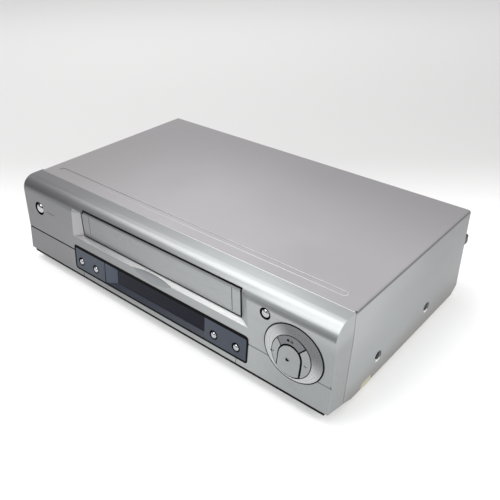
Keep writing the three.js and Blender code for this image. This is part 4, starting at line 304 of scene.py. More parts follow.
def sheet_lacquer(name, colour):
    """Grey lacquer with a fine texture, with painted light and shade: painted shade towards
    the left end and the rear, sides painted lighter and cooler, lit at their front top and
    shaded at their rear, rear top and foot, a band of painted dark reflection on the sharp
    bend, and pale edge crests that are partly worn lacquer and partly a painted highlight.
    """
    finish = Finish(name, Metallic=0.3)
    across, back, up = finish.axis("X"), finish.axis("Y"), finish.axis("Z")
    fine = finish.noise(2600, 3)
    wide = finish.noise(7, 3)
    smear = finish.noise(46, 4, (1, 0.35, 1))
    base = tone(colour)
    coat = finish.mix(fine, shade(base, 0.94), shade(base, 1.06))
    coat = finish.mix(finish.between(wide, 0.42, 0.72) * 0.6, coat, shade(base, 0.86))
    # Painted shade towards the left end, and below, towards the rear.
    left_end = 1 - finish.between(across, -0.2, 0.0)
    coat = finish.mix(left_end, coat, shade(base, 0.68, 1.01, 1, 0.99))
    coat = finish.mix(finish.between(back, -0.03, 0.12), coat, shade(base, 0.7))
    # Painted light: the sides are a little lighter and cooler than the top.
    side = finish.between(across * across, 0.1887 ** 2, 0.1896 ** 2)
    coat = finish.mix(side, coat, shade(base, 1.04, 0.93, 1.0, 0.985))
    # Painted shade on the sides' rear end and rear top, painted light on their front top, and
    # a warm painted shade near their foot.
    rear_end = side * finish.between(back, -0.03, 0.1)
    coat = finish.mix(rear_end * 0.7, coat, shade(base, 0.68, 0.97, 1.0, 0.985))
    high = finish.between(up, 0.03, 0.085)
    rear_top = side * finish.between(back, -0.07, 0.1) * high
    coat = finish.mix(rear_top * 0.8, coat, shade(base, 0.54, 0.95, 1.0, 0.985))
    front_top = side * (1 - finish.between(back, -0.09, -0.02)) * high
    coat = finish.mix(front_top * 0.8, coat, shade(base, 1.2, 0.95, 1.0, 0.985))
    foot = side * (1 - finish.between(up, 0.002, 0.026))
    coat = finish.mix(foot * 0.8, coat, shade(base, 0.66, 1.03, 1.0, 0.88))
    # Painted dark reflection in a narrow band along the bend from top to sides.
    bend_foot, bend_top = 0.0899, 0.0916
    bend = finish.between(across * across, 0.1884 ** 2, 0.1886 ** 2)
    bend = bend * finish.band(up, bend_foot, bend_top, 0.0003)
    coat = finish.mix(bend * 0.8, coat, shade(base, 0.24))
    # The pale crests are worn lacquer and also a painted highlight.
    finish.feed("Base Color", finish.rubbed(coat, 0xD8D8D6, 0.3))
    finish.feed("Roughness", 0.36 + (smear - 0.5) * 0.16 + (fine - 0.5) * 0.08)
    finish.feed("Normal", finish.bump(fine, 0.35, 0.00005))
    return finish


def brushed_dish(name, colour):
    """Metal brushed in rings round the dish's middle, with painted shade in its upper right
    hollow.
    """
    finish = Finish(name, Metallic=0.75)
    middle, upper_right = (-DISH_X * MM, 0, -DISH_Z * MM), (0.5, 0, 0.87)
    out = finish.node(
        "ShaderNodeMapping", {},
        {"Vector": finish.place, "Location": middle, "Scale": (1, 0, 1)},
    )
    radius = finish.node("ShaderNodeVectorMath", {"operation": "LENGTH"}, {0: out}, "Value")
    side = finish.node(
        "ShaderNodeVectorMath", {"operation": "DOT_PRODUCT"}, {0: out, 1: upper_right}, "Value"
    )
    rings = finish.node(
        "ShaderNodeTexNoise", {"noise_dimensions": "1D"}, {"W": radius, "Scale": 2400.0}, "Fac"
    )
    base = tone(colour)
    coat = finish.mix(rings, shade(base, 0.86), shade(base, 1.1))
    # Painted shade: a darker, bluer colour in the upper right of the hollow, away from the
    # middle.
    hollow = finish.between(side / radius, -0.2, 0.75) * finish.between(radius, 0.004, 0.015)
    coat = finish.mix(hollow * 0.9, coat, shade(base, 0.24, 1, 1, 1.04))
    finish.feed("Base Color", finish.rubbed(coat, 0xDCDCDA, 0.3, 120, 0.38, 0.66))
    finish.feed("Roughness", 0.27 + (rings - 0.5) * 0.12)
    finish.feed("Normal", finish.bump(rings, 0.2, 0.00004))
    return finish


# Each grained finish: its name, colour, roughness, specks to the metre and their depth.
FINISHES = {
    "silver_plastic": silver_paint("silver_plastic_paint", 0x9EA1A1),
    # Paler and darker copies of the silver paint. Painted light falls on the ledge, the
    # recess's left wall, the pale seam and pill lines and the upward walls of the screw
    # dimples. Painted shade falls on the recess's right wall, the scoop, the groove right of
    # the panel and the stop pad.
    "lit_silver": silver_paint("silver_painted_light", 0xF4F5F4, 0.3),
    "half_lit_silver": silver_paint("recess_wall_painted_light", 0xB6B8B8, 0.62),
    "silver_shadow": silver_paint("silver_shadow_paint", 0x868A8B, 0.8),
    "shaded_stop_key_silver": silver_paint("stop_key_painted_shade", 0x74777A, 0.8),
    # Painted shade: the side screws' heads are coloured dark for the shade of their dimples.
    "shaded_screw": grained(
        "screw_painted_shade", 0x2A2B2D, 0.3, 1500, 0.00003, worn=0x8A8A88, Metallic=0.8
    ),
    "seam_grey": grained("seam_grey_shadow", 0x4E5254, 0.6, 1500, 0.00005, wear=0),
    "socket_red": grained("socket_red_moulded", 0x8E1F1C, 0.38, 1500, 0.00005),
    "dish_brushed": brushed_dish("dish_brushed_metal", 0xB0B2B2),
    # A paler copy of the panel blue: painted light on the window's slanted facets, and also
    # the print of the panel's captions.
    "lit_facet_and_caption_blue": grained(
        "panel_blue_painted_light", 0x323B4B, 0.35, 2400, 0.00005, worn=0x8C96A0, Metallic=0.2
    ),
    "silver_sheet": sheet_lacquer("silver_sheet_lacquer", 0x989698),
    "panel_blue": grained(
        "panel_blue_paint", 0x2D3644, 0.4, 2400, 0.00005, worn=0x8C96A0, Metallic=0.2
    ),
    "dark_lens": grained(
        "dark_lens_smoke", 0x0A0D1C, 0.2, 700, 0.00001, speckle=0.02, worn=0x2A3040,
        Specular_IOR_Level=0.1
    ),
    "lens_lip": grained(
        "lens_lip_smoke", 0x1F2532, 0.34, 700, 0.00001, speckle=0.02, worn=0x4A5264
    ),
    "chrome_plate": grained(
        "chrome_plate_bright", 0xB2B4B7, 0.14, 1500, 0.00001, speckle=0.02, Metallic=1.0
    ),
    "cream_plastic": grained(
        "cream_plastic_moulded", 0xB9B49A, 0.5, 1800, 0.0001, worn=0xD0CCB8
    ),
    "black_plastic": grained(
        "black_plastic_moulded", 0x17181A, 0.46, 1900, 0.0001, worn=0x4C4D50
    ),
    "white_plastic": grained(
        "white_plastic_moulded", 0xD9D8D0, 0.42, 1600, 0.00008, worn=0xECEBE6
    ),
    "sheet_steel": grained(
        "sheet_steel_zinc", 0xA9ABAA, 0.34, 1400, 0.00004, stretch=(0.2, 1, 1), Metallic=0.9
    ),
    "polished_aluminium": grained(
        "polished_aluminium_turned", 0xC6C8CA, 0.2, 2400, 0.00002, speckle=0.03,
        stretch=(1, 1, 0.05), Metallic=1.0
    ),
    "yellow_brass": grained(
        "yellow_brass_turned", 0xB8943F, 0.24, 2200, 0.00002, stretch=(1, 1, 0.05),
        Metallic=1.0
    ),
    "board_green": grained(
        "board_green_resist", 0x2E4A2C, 0.38, 900, 0.00005, worn=0x6D7B45
    ),
    "copper_coil": grained(
        "copper_coil_wire", 0xA8683A, 0.3, 1500, 0.0001, stretch=(0.1, 1, 1), Metallic=0.85
    ),
    # Black for the print of signs and captions, and as painted shadow in gaps, wells and rims
    # and on the sides and backs of parts.
    "black_gap": grained(
        "black_gap_shadow", 0x070708, 0.8, 1500, 0.00005, wear=0, Specular_IOR_Level=0.1
    ),
    "black_rubber": grained(
        "black_rubber_soft", 0x161616, 0.72, 1500, 0.00012, worn=0x3A3A3A
    ),
}


# ---------------------------------------------------------------- making pieces

def linked(name, data):
    """A new object that holds this data, put into the scene."""
    made = bpy.data.objects.new(name, data)
    bpy.context.scene.collection.objects.link(made)
    return made


def finished(shape, name, slot, body, nodes=(), inlays=("black_gap",)):
    """The shape as a piece: named, painted, riding its body and standing for its solids."""
    mesh = bpy.data.meshes.new(name)
    shape.to_mesh(mesh)
    shape.free()
    piece = linked(name, mesh)
    for finish in (slot, *inlays):
        mesh.materials.append(FINISHES[finish].material)
    for face in mesh.polygons:
        face.use_smooth = True
    mesh.set_sharp_from_angle(angle=radians(SHARP_ABOVE))
    piece.modifiers.new("even_shading", "WEIGHTED_NORMAL").keep_sharp = True
    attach(piece, body)
    if nodes:
        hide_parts(*nodes)


def solid_of(node):
    """A copy of a solid with its doubles merged and its flat faces joined."""
    shape = bmesh.new()
    shape.from_mesh(frame["nodes"][node].data)
    bmesh.ops.remove_doubles(shape, verts=shape.verts, dist=0.002 * MM)
    bmesh.ops.dissolve_limit(
        shape, angle_limit=radians(0.4), verts=shape.verts, edges=shape.edges
    )
    return shape


def bevelled(shape, edges, width, segments, clamp=False):
    """Rounds the edges to this width in mm, and returns what the bevel made."""
    return bmesh.ops.bevel(
        shape, geom=edges, offset=width * MM, offset_type="OFFSET", segments=segments,
        profile=0.5, affect="EDGES", material=-1, clamp_overlap=clamp,
    )


def round_edges(shape, width):
    """Rounds the sharp edges and marks their crests for the finish to rub."""
    crest = shape.verts.layers.float.new("crest")
    sharp = [
        e for e in shape.edges
        if len(e.link_faces) == 2 and e.calc_face_angle(0) > radians(ROUNDED_ABOVE)
    ]
    made = bevelled(shape, sharp, width, 2, clamp=True)
    rounded = set(made["faces"])
    for vert in made["verts"]:
        if all(face in rounded for face in vert.link_faces):
            vert[crest] = 1.0


def inlaid(shape, chosen, finish=1):
    """Gives one of the piece's further finishes to the faces that are chosen."""
    for face in shape.faces:
        if chosen(face, face.calc_center_median() / MM):
            face.material_index = finish


def stand(shape, x, y, z, lean=0.0):
    """Sets a shape made facing the front on a face that leans back, at a place in mm."""
    turn = Matrix.Rotation(radians(-lean), 4, "X")
    place = Matrix.Translation(Vector((x, y, z)) * MM) @ turn
    bmesh.ops.transform(shape, matrix=place, verts=shape.verts)


def placed(shape, place, name, slot, body="housing"):
    """A small piece set on a face, at an (x, y, z) or (x, y, z, lean)."""
    stand(shape, *place)
    finished(shape, name, slot, body)


def turned(profile, steps=48):
    """A solid spun round the line that looks out of the front, from (radius, height) in mm."""
    shape = bmesh.new()
    points = [shape.verts.new((radius * MM, -height * MM, 0)) for radius, height in profile]
    edges = [shape.edges.new(pair) for pair in zip(points, points[1:] + points[:1])
             if pair[0].co.x + pair[1].co.x > 0]
    bmesh.ops.spin(
        shape, geom=points + edges, cent=(0, 0, 0), axis=(0, 1, 0), angle=2 * pi,
        steps=steps, use_merge=True,
    )
    bmesh.ops.remove_doubles(shape, verts=shape.verts, dist=0.001 * MM)
    bmesh.ops.recalc_face_normals(shape, faces=shape.faces)
    return shape


def slab(width, height, thick, corner=0.0, segments=5):
    """A flat plate in the front plane, in mm, its corners rounded; it rises thick outwards."""
    shape = bmesh.new()
    bmesh.ops.create_cube(shape, size=MM)
    bmesh.ops.scale(shape, vec=(width, thick, height), verts=shape.verts)
    bmesh.ops.translate(shape, vec=(0, -thick / 2 * MM, 0), verts=shape.verts)
    if corner:
        through = [
            e for e in shape.edges
            if abs(e.verts[0].co.y - e.verts[1].co.y) > thick / 2 * MM
        ]
        bevelled(shape, through, corner, segments)
    return shape


def disc(sides, thick, turn=0.0):
    """A plate with this many sides round a radius of 1 mm, in the front plane."""
    shape = bmesh.new()
    bmesh.ops.create_cone(
        shape, cap_ends=True, segments=sides, radius1=MM, radius2=MM, depth=thick * MM,
        matrix=Matrix.Rotation(pi / 2, 4, "X") @ Matrix.Rotation(turn, 4, "Z"),
    )
    return shape


def arrow(width, height, points_right):
    """A flat triangle in the front plane, its tip to one side, in mm."""
    shape = disc(3, 0.1, -pi / 2)
    span = max(v.co.x for v in shape.verts) - min(v.co.x for v in shape.verts)
    tall = max(v.co.z for v in shape.verts) - min(v.co.z for v in shape.verts)
    turn = 1 if points_right else -1
    bmesh.ops.scale(
        shape, vec=(turn * width * MM / span, 1, height * MM / tall), verts=shape.verts
    )
    bmesh.ops.recalc_face_normals(shape, faces=shape.faces)
    return shape


def opened(shape, wall):
    """Opens a plate into a frame with a wall this wide; returns the inner edge's points."""
    ends = [f for f in shape.faces if abs(f.normal.y) > 0.9]
    bmesh.ops.inset_individual(
        shape, faces=ends, thickness=wall * MM, use_even_offset=True
    )
    rims = [e for f in ends for e in f.edges]
    inner = {v for f in ends for v in f.verts}
    bmesh.ops.delete(shape, geom=ends, context="FACES_ONLY")
    bmesh.ops.bridge_loops(shape, edges=rims)
    bmesh.ops.recalc_face_normals(shape, faces=shape.faces)
    return list(inner)


def body_of(node):
    """The moving body that a solid belongs to."""
    return frame["nodes"][node]["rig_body"]


def slot_of(node):
    """The record's slot that a solid is painted with."""
    return frame["nodes"][node].data.materials[0].name


def middle_of(node):
    """The middle of a solid's box, in mm."""
    low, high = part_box(node)
    return (low + high) / 2 / MM


def face_y(z):
    """How far back the front's face is at a height, in mm."""
    if z < GROOVE_Z:
        return FRONT_Y + GROOVE_BACK * (z - FACE_FOOT) / (GROOVE_Z - FACE_FOOT)
    share = (z - GROOVE_Z) / (BROW_FOOT - GROOVE_Z)
    return FRONT_Y + GROOVE_BACK + (FACE_BACK - GROOVE_BACK) * share


def on_brow(angle, sunk):
    """Depth, height and lean of a place this many degrees up the round of the brow."""
    radius = BROW_RADIUS - sunk
    return (
        FRONT_Y + BROW_BACK - radius * cos(radians(angle)),
        BROW_FOOT + radius * sin(radians(angle)), angle,
    )


def panel_y(z):
    """How far back the display panel's face is at a height, in mm."""
    foot_z, foot_back = 17.5, 0.503
    return FRONT_Y + foot_back + (z - foot_z) * tan(radians(PANEL_LEAN))


def bowl_y(x, z):
    """How far back the hollow of the dish is at a place, in mm."""
    across, up = (x - DISH_X) / DISH_HALF[0], (z - DISH_Z) / DISH_HALF[1]
    sunk = DISH_DEPTH * (1 - across * across - up * up)
    return FRONT_Y + DISH_Y + (z - DISH_Z) * tan(radians(DISH_LEAN)) + sunk


# ---------------------------------------------------------------- the front

def fascia():
    """The front moulding with painted light and shade in its recesses, a black strip of
    painted shadow under its foot and groove lines of painted shade.
    """
    shape = solid_of("front_bezel")
    round_edges(shape, 0.3)
    recess_left, recess_right, recess_foot, recess_top = -114, 111, 52.5, 84
    groove_half = 0.9

    def in_groove(face, at):
        return abs(at.z - GROOVE_Z) < groove_half and abs(face.normal.z) > 0.5

    # Left bare black plastic and black as painted shadow: faces turned away from the front and
    # the walls inside its openings. The groove left of the panel is black as painted shade.
    def bare(face, at):
        inside = abs(at.x) < SIDE_X - 3 and 14 < at.z < 90 and at.y > FRONT_Y + 1
        wall = inside and abs(face.normal.y) < 0.13
        left_groove = in_groove(face, at) and at.x < PANEL_LEFT
        return face.normal.y > 0.3 or wall or left_groove

    # Painted light: the ledge under the door takes a paler silver.
    def ledge(face, at):
        inside = recess_left < at.x < recess_right and recess_foot < at.z < 55.4
        return inside and face.normal.z > 0.7

    # Painted light: the recess's left wall takes a slightly paler silver.
    def left_wall(face, at):
        inside = recess_left < at.x < -100 and recess_foot < at.z < recess_top
        return inside and face.normal.x > 0.3

    # Painted shade: the recess's right wall, the scoop and the groove right of the panel.
    def dim(face, at):
        inside = 100 < at.x < recess_right and recess_foot + 0.5 < at.z < recess_top
        right_wall = inside and face.normal.x < -0.3
        scoop = abs(at.x) < 60 and 44 < at.z < 56 and 0.25 < face.normal.z < 0.6
        right_groove = in_groove(face, at) and at.x > PANEL_RIGHT
        return right_wall or scoop or right_groove

    for finish, chosen in enumerate((bare, ledge, left_wall, dim), 1):
        inlaid(shape, chosen, finish)
    finished(
        shape, "fascia", "silver_plastic", "housing", ["front_bezel"],
        ("black_gap", "lit_silver", "half_lit_silver", "silver_shadow"),
    )
    # Painted shadow: a black strip under the front's foot, where it stands over the floor.
    underside_shadow = slab(372, 2.9, 1.4, 1)
    placed(underside_shadow, (0.5, FRONT_Y + 2.2, 10.4), "front_underside_shadow", "black_gap")
    dish_left, dish_right = DISH_X - DISH_HALF[0], DISH_X + DISH_HALF[0]
    corner_x = SIDE_X - 0.7
    # Along the groove, a silver strip carries a grey line of painted shade.
    for name, start, end in (
        ("panel_to_dish", PANEL_RIGHT + 1.5, dish_left + 4.1),
        ("dish_to_side", dish_right - 4.6, SIDE_X - 0.8),
    ):
        place = ((start + end) / 2, FRONT_Y + GROOVE_BACK + LET_IN, GROOVE_Z, GROOVE_LEAN)
        placed(slab(end - start, 1.5, 0.1), place, f"{name}_base", "silver_plastic")
        placed(slab(end - start, 0.7, 0.16), place, f"{name}_line", "seam_grey")
    # Painted shade where the groove turns at the right corner.
    place = (corner_x, FRONT_Y + 2.6, GROOVE_Z + 1.1, FACE_LEAN)
    placed(slab(0.6, 1.8, 0.3), place, "groove_hook", "seam_grey")
    # Painted shadow in the notch at each end of the seam behind the brow.
    for word, side in SIDES:
        place = (side * corner_x, FRONT_Y + 27.9, TOP_Z - 0.45, UPWARD)
        placed(slab(0.9, 3.0, 0.4), place, f"{word}_corner_seam_shadow", "black_gap")


def tape_door():
    """The door with its two upright groove lines, each with a painted highlight beside it, a
    black edge of painted shadow round it, and the line of painted shadow under the brow's lip
    over it.
    """
    shape = solid_of("cassette_flap")
    round_edges(shape, 0.2)
    # Painted shadow: the door's sides and back are black, so its gap reads dark.
    inlaid(shape, lambda face, at: face.normal.y > -0.4)
    finished(shape, "tape_door", "silver_plastic", "tape_door", ["cassette_flap"])
    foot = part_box("cassette_flap")[0].z / MM
    # Each upright line is a black line of painted shade in a groove, with a narrow chrome
    # strip beside it as a painted highlight.
    for number, x in enumerate(DOOR_LINES, 1):
        for part, slot, shift, wide in (
            ("line", "black_gap", 0, 0.6),
            ("light", "chrome_plate", 0.5, 0.3),
        ):
            place = (x + shift, FRONT_Y + DOOR_Y + LET_IN, foot + 13.4)
            placed(slab(wide, 22.5, 0.06), place, f"door_{part}_{number}", slot, "tape_door")

    # Painted shadow: a black frame round the door stands for the gap round it.
    edge = slab(201.2, 27.0, 0.4, 1)
    opened(edge, 0.95)
    place = (-1.5, FRONT_Y + DOOR_Y + 0.3, foot + 13.1)
    placed(edge, place, "door_edge", "black_gap", "tape_door")

    # Painted shadow: a black line under the brow's lip across the door's top, turning down at
    # its ends.
    left, right = LIP_SHADOW
    lip_shadow = slab(right - left, 1.6, 0.3)
    placed(lip_shadow, ((left + right) / 2, *on_brow(29.5, 0.05)), "door_lip_shadow", "black_gap")
    for word, x in (("left", left + 0.6), ("right", right - 0.7)):
        place = (x, *on_brow(24.2, 0.05))
        placed(slab(1.3, 3.2, 0.3), place, f"header_{word}_corner", "black_gap")


def display():
    """The blue panel, with black sides of painted shadow and painted light on its window's
    facets, the seam and the smoked lens of its window, and a dark rim of painted shadow round
    it.
    """
    shape = solid_of("display_panel")
    round_edges(shape, 0.2)
    left, right = WINDOW
    # Painted shadow on the panel's sides and back, and painted light on the window's slanted
    # facets.
    inlaid(shape, lambda face, at: abs(face.normal.y) < 0.13 or face.normal.y > 0.5)
    inlaid(shape, lambda face, at: left < at.x < right and 0.2 < -face.normal.y < 0.985, 2)
    inlaid(shape, lambda face, at: left < at.x < right and abs(face.normal.z) > 0.25, 3)
    finished(
        shape, "panel_plate", "panel_blue", "housing", ["display_panel"],
        ("black_gap", "lit_facet_and_caption_blue", "lens_lip"),
    )
    seam_z = 30.8
    place = (left, panel_y(seam_z) + LET_IN, seam_z, PANEL_LEAN)
    placed(slab(0.5, 24, 0.08), place, "window_seam", "black_gap")

    shape = solid_of("display_window")
    round_edges(shape, 0.2)
    finished(shape, "panel_lens", "dark_lens", "housing", ["display_window"])

    # Painted shadow: a black frame round the panel, widest along the top, where the face above
    # overhangs it.
    rim = slab(PANEL_RIGHT - PANEL_LEFT + 0.9, 26.9, 0.5, 3.2)
    for vert in opened(rim, 1.8):
        if vert.co.z > 0:
            vert.co.z -= 1.6 * MM
    rim_z = 30.456
    place = (middle_of("display_panel").x, panel_y(rim_z) + 0.42, rim_z, PANEL_LEAN)
    placed(rim, place, "panel_edge_shadow", "black_gap")


def keys():
    """The round keys: bright domes standing deep in wells painted black as shadow."""
    top, foot, floor = 0.95, -3.6, -4.2
    for node, radius, well, lean in ROUND_KEYS:
        at = middle_of(node)
        place = (at.x, panel_y(at.z) if lean == PANEL_LEAN else face_y(at.z), at.z, lean)
        name = node.replace("_button", "")
        rise = 0.55 * radius
        cap = [
            (radius * sin(radians(a)), top - rise + rise * cos(radians(a)))
            for a in range(0, 91, 6)
        ]
        dome = turned([*cap, (radius, foot), (0, foot)])
        stand(dome, *place)
        finished(dome, f"{name}_dome", "chrome_plate", body_of(node), [node])
        # Painted shadow: a black cup round each dome.
        cup = turned([
            (1.9, foot), (1.9, floor), (well, floor), (well, 0.02), (well - 0.3, 0.02),
            (well - 0.4, foot),
        ])
        placed(cup, place, f"{name}_well", "black_gap")


def dish():
    """The brushed dish with a dark rim of painted shadow, thicker at its top and right, and
    the four pads of its running keys, their sides black as painted shadow and the stop pad in
    a shaded silver.
    """
    shape = solid_of("control_dish")
    round_edges(shape, 0.15)
    # Painted shadow on the dish's sides and back.
    inlaid(shape, lambda face, at: abs(face.normal.y) < 0.2 or face.normal.y > 0.5)
    finished(shape, "dish_bowl", "dish_brushed", "housing", ["control_dish"])

    rim = disc(96, 0.5)
    bmesh.ops.scale(
        rim, vec=(DISH_HALF[0] + 0.55, 1, DISH_HALF[1] + 0.55), verts=rim.verts
    )
    # The rim's opening is shifted down and left, so its painted shadow is thicker at the top
    # and right.
    for vert in opened(rim, 1.0):
        vert.co += Vector((-0.18, 0, -0.3)) * MM
    place = (DISH_X, FRONT_Y + DISH_Y + 0.18, DISH_Z, DISH_LEAN)
    placed(rim, place, "dish_rim", "black_gap")

    # The play pad is narrowed to widen its black gap of painted shadow at the top and right,
    # and the stop pad at the right. The stop pad takes the shaded silver.
    for node, slot, narrowed in (
        ("play_button", "silver_plastic", (0.945, 1, 0.95)),
        ("stop_button", "shaded_stop_key_silver", (0.975, 1, 1)),
        ("rewind_button", "silver_plastic", None),
        ("forward_button", "silver_plastic", None),
    ):
        pad = solid_of(node)
        round_edges(pad, 0.15)
        if narrowed:
            corner = Matrix.Translation(-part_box(node)[0])
            bmesh.ops.scale(pad, vec=narrowed, verts=pad.verts, space=corner)
        # Painted shadow on each pad's sides and back.
        inlaid(pad, lambda face, at: abs(face.normal.y) < 0.25 or face.normal.y > 0.5)
        finished(pad, node.replace("button", "pad"), slot, body_of(node), [node])


def marks():
    """The signs printed on the running keys, and short lines where keys carry a caption."""
    for name, body, x, z, part in (
        ("play_sign", "play_key", 148.1, 40.8, arrow(3.7, 3.6, True)),
        ("stop_sign", "stop_key", 147.9, 59.5, slab(2.2, 2.2, 0.1)),
        ("pause_sign_1", "stop_key", 150.7, 59.3, slab(0.7, 2.2, 0.1)),
        ("pause_sign_2", "stop_key", 152.1, 59.2, slab(0.7, 2.2, 0.1)),
        ("rewind_sign_1", "rewind_key", 133.7, 43.9, arrow(1.5, 1.8, False)),
        ("rewind_sign_2", "rewind_key", 135.2, 43.9, arrow(1.5, 1.8, False)),
        ("forward_sign_1", "forward_key", 164.4, 43.4, arrow(1.5, 1.8, True)),
        ("forward_sign_2", "forward_key", 165.9, 43.4, arrow(1.5, 1.8, True)),
    ):
        placed(part, (x, bowl_y(x, z) - 0.3, z, DISH_LEAN), name, "black_gap", body)

    def line(name, x, y, z, lean, slot, width, height=0.45):
        placed(slab(width, height, 0.06), (x, y + LET_IN, z, lean), name, slot)

    power_z, eject_z, panel_z, seam_z = 64.6, 81.6, 35.6, 14.6
    line("power_caption", -147.5, face_y(power_z), power_z, FACE_LEAN, "black_gap", 13)
    line("eject_caption", 126.3, face_y(eject_z) + 0.3, eject_z, 11, "black_gap", 6)
    for word, x in (
        ("channel_down", -103.6), ("channel_up", -81.6), ("monitor", 73.6), ("record", 98.3),
    ):
        y = panel_y(panel_z)
        line(f"{word}_caption", x, y, panel_z, PANEL_LEAN, "lit_facet_and_caption_blue", 5.5)
    for word, x in (("left", -101), ("right", 99)):
        y = face_y(seam_z)
        line(f"{word}_foot_seam", x, y, seam_z, FOOT_LEAN, "black_gap", 0.45, 4.6)


fascia()
tape_door()
display()
keys()
dish()
marks()


# ---------------------------------------------------------------- the cover and the rest

# Each outer solid: the piece that stands for it, and how far its edges are rounded.
OUTSIDE = {
    "top_cover": ("cover_sheet", 0.25),
    "rear_panel": ("rear_sheet", 0.2),
    "chassis": ("chassis_tray", 0.2),
    "aerial_block": ("aerial_housing", 0.2),
    "scart_socket_1": ("scart_housing_1", 0.2),
    "scart_socket_2": ("scart_housing_2", 0.2),
    "audio_sockets": ("audio_housing", 0.2),
    "mains_inlet": ("inlet_housing", 0.2),
}
for side in ("left", "right"):
    for end in ("front", "rear"):
        OUTSIDE[f"{side}_{end}_foot"] = (f"{side}_{end}_pad", 0.3)
    for number in (1, 2):
        OUTSIDE[f"{side}_screw_{number}"] = (f"{side}_side_screw_{number}", 0.12)
# Where the side screws stand, the same on both sides, and their dimples in the cover.
SCREW_PLACES = [middle_of(f"right_screw_{number}") for number in (1, 2)]
DIMPLE_RADIUS, FUNNEL_WIDTH, FUNNEL_SPREAD = 3.5, 1.6, 1.8


def cover_lines():
    """Painted highlights: a pale strip in the seam behind the brow and a pale rim round the
    long sunk pill.
    """
    seam = slab(378.6, 0.6, 1.0)
    placed(seam, (0, FRONT_Y + 27.8, TOP_Z - 1.12, UPWARD), "seam_highlight", "lit_silver")
    rim = slab(350.6, 6.2, 0.2, 3.05, 8)
    opened(rim, 0.42)
    placed(rim, (-1.5, FRONT_Y + 42.3, TOP_Z - 0.2, UPWARD), "pill_rim_highlight", "lit_silver")


def from_screw(at, place):
    """How far a point is from a side screw's own line."""
    return hypot(at.y - place.y, at.z - place.z)


def in_dimple(face, at):
    """Whether a face of the cover is the wall or floor of a sunk screw's dimple."""
    near = any(from_screw(at, place) < 6.7 for place in SCREW_PLACES)
    sunk = abs(face.normal.x) < 0.97 or abs(at.x) < SIDE_X - 1
    return near and sunk and abs(at.x) > SIDE_X - 3


def shaded_dimple(face, at):
    """Whether a face of a dimple looks down or sideways, and so takes painted shade."""
    return in_dimple(face, at) and face.normal.z < 0.2


def lit_dimple(face, at):
    """Whether a face of a dimple looks up, and so takes painted light."""
    return in_dimple(face, at) and face.normal.z >= 0.2


def widen_dimples(shape):
    """Turns the sharp rims of the screw dimples into pressed funnels."""
    hole = DIMPLE_RADIUS * MM
    for place in SCREW_PLACES:
        middle = place * MM
        rims = [
            edge for edge in shape.edges
            if all(
                abs(vert.co.x) > (SIDE_X - 0.1) * MM
                and abs(from_screw(vert.co, middle) - hole) < 0.1 * MM
                for vert in edge.verts
            )
        ]
        made = bevelled(shape, rims, FUNNEL_WIDTH, 4)
        for vert in made["verts"]:
            share = FUNNEL_SPREAD - (FUNNEL_SPREAD - 1) * hole / from_screw(vert.co, middle)
            vert.co.y = middle.y + (vert.co.y - middle.y) * share
            vert.co.z = middle.z + (vert.co.z - middle.z) * share


def outer_parts():
    """The cover, the rear sheet, the tray, the sockets, the feet and the side screws."""
    for node, (name, width) in OUTSIDE.items():
        shape = solid_of(node)
        if node == "top_cover":
            widen_dimples(shape)
        round_edges(shape, width)
        if node == "aerial_block":
            for vert in shape.verts:
                vert.co.y = min(vert.co.y, (REAR_Y - 0.7) * MM)
        # Painted shade on the dimples' downward walls, painted light on their upward walls.
        if node == "top_cover":
            inlaid(shape, shaded_dimple)
            inlaid(shape, lit_dimple, 2)
        # The side screws take the dark colour of painted shade.
        slot = "shaded_screw" if "screw" in node else slot_of(node)
        finished(shape, name, slot, body_of(node), [node], ("seam_grey", "lit_silver"))


cover_lines()
outer_parts()
for node, carried in frame["nodes"].items():
    carried.data.materials[0] = FINISHES[slot_of(node)].material


# ---------------------------------------------------------------- the rear

def louvres(rear_y):
    """Four rows of rounded louvres, each with a dark strip of painted shadow under it."""
    left, step, columns = -150, 19, 6
    for row, z in enumerate((64, 69, 74, 79), 1):
        for column in range(columns):
            x = left + column * step
            louvre = slab(15, 1.8, 0.7, 0.6, 3)
            crest = [e for e in louvre.edges if all(v.co.y < -0.6 * MM for v in e.verts)]
            bevelled(louvre, crest, 0.35, 2)
            name = f"{row}_{column + 1}"
            placed(louvre, (x, rear_y, z, REARWARD), f"louvre_{name}", "black_plastic")
            # Painted shadow under each louvre.
            shadow = slab(14, 1.1, 0.04)
            placed(shadow, (x, rear_y, z - 1.6, REARWARD), f"louvre_shadow_{name}", "black_gap")


def video_socket(number):
    """The steel shell of a video socket and its two rows of brass contacts."""
    low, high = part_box(f"scart_socket_{number}")
    x, z, y = (low.x + high.x) / 2 / MM, (low.z + high.z) / 2 / MM, high.y / MM
    shell = slab((high.x - low.x) / MM - 0.6, 14.4, 0.3, 1.4)
    opened(shell, 1.2)
    placed(shell, (x, y - 0.1, z, REARWARD), f"video_shell_{number}", "sheet_steel")
    pitch, row_height = 3.4, 1.9
    for row, up in enumerate((row_height, -row_height)):
        for column in range(10):
            across = x - 16.8 + column * pitch + row * pitch / 2
            name = f"video_contact_{number}_{row + 1}_{column + 1}"
            contact = slab(0.7, 2.7, 0.12)
            placed(contact, (across, y, z + up, REARWARD), name, "yellow_brass")


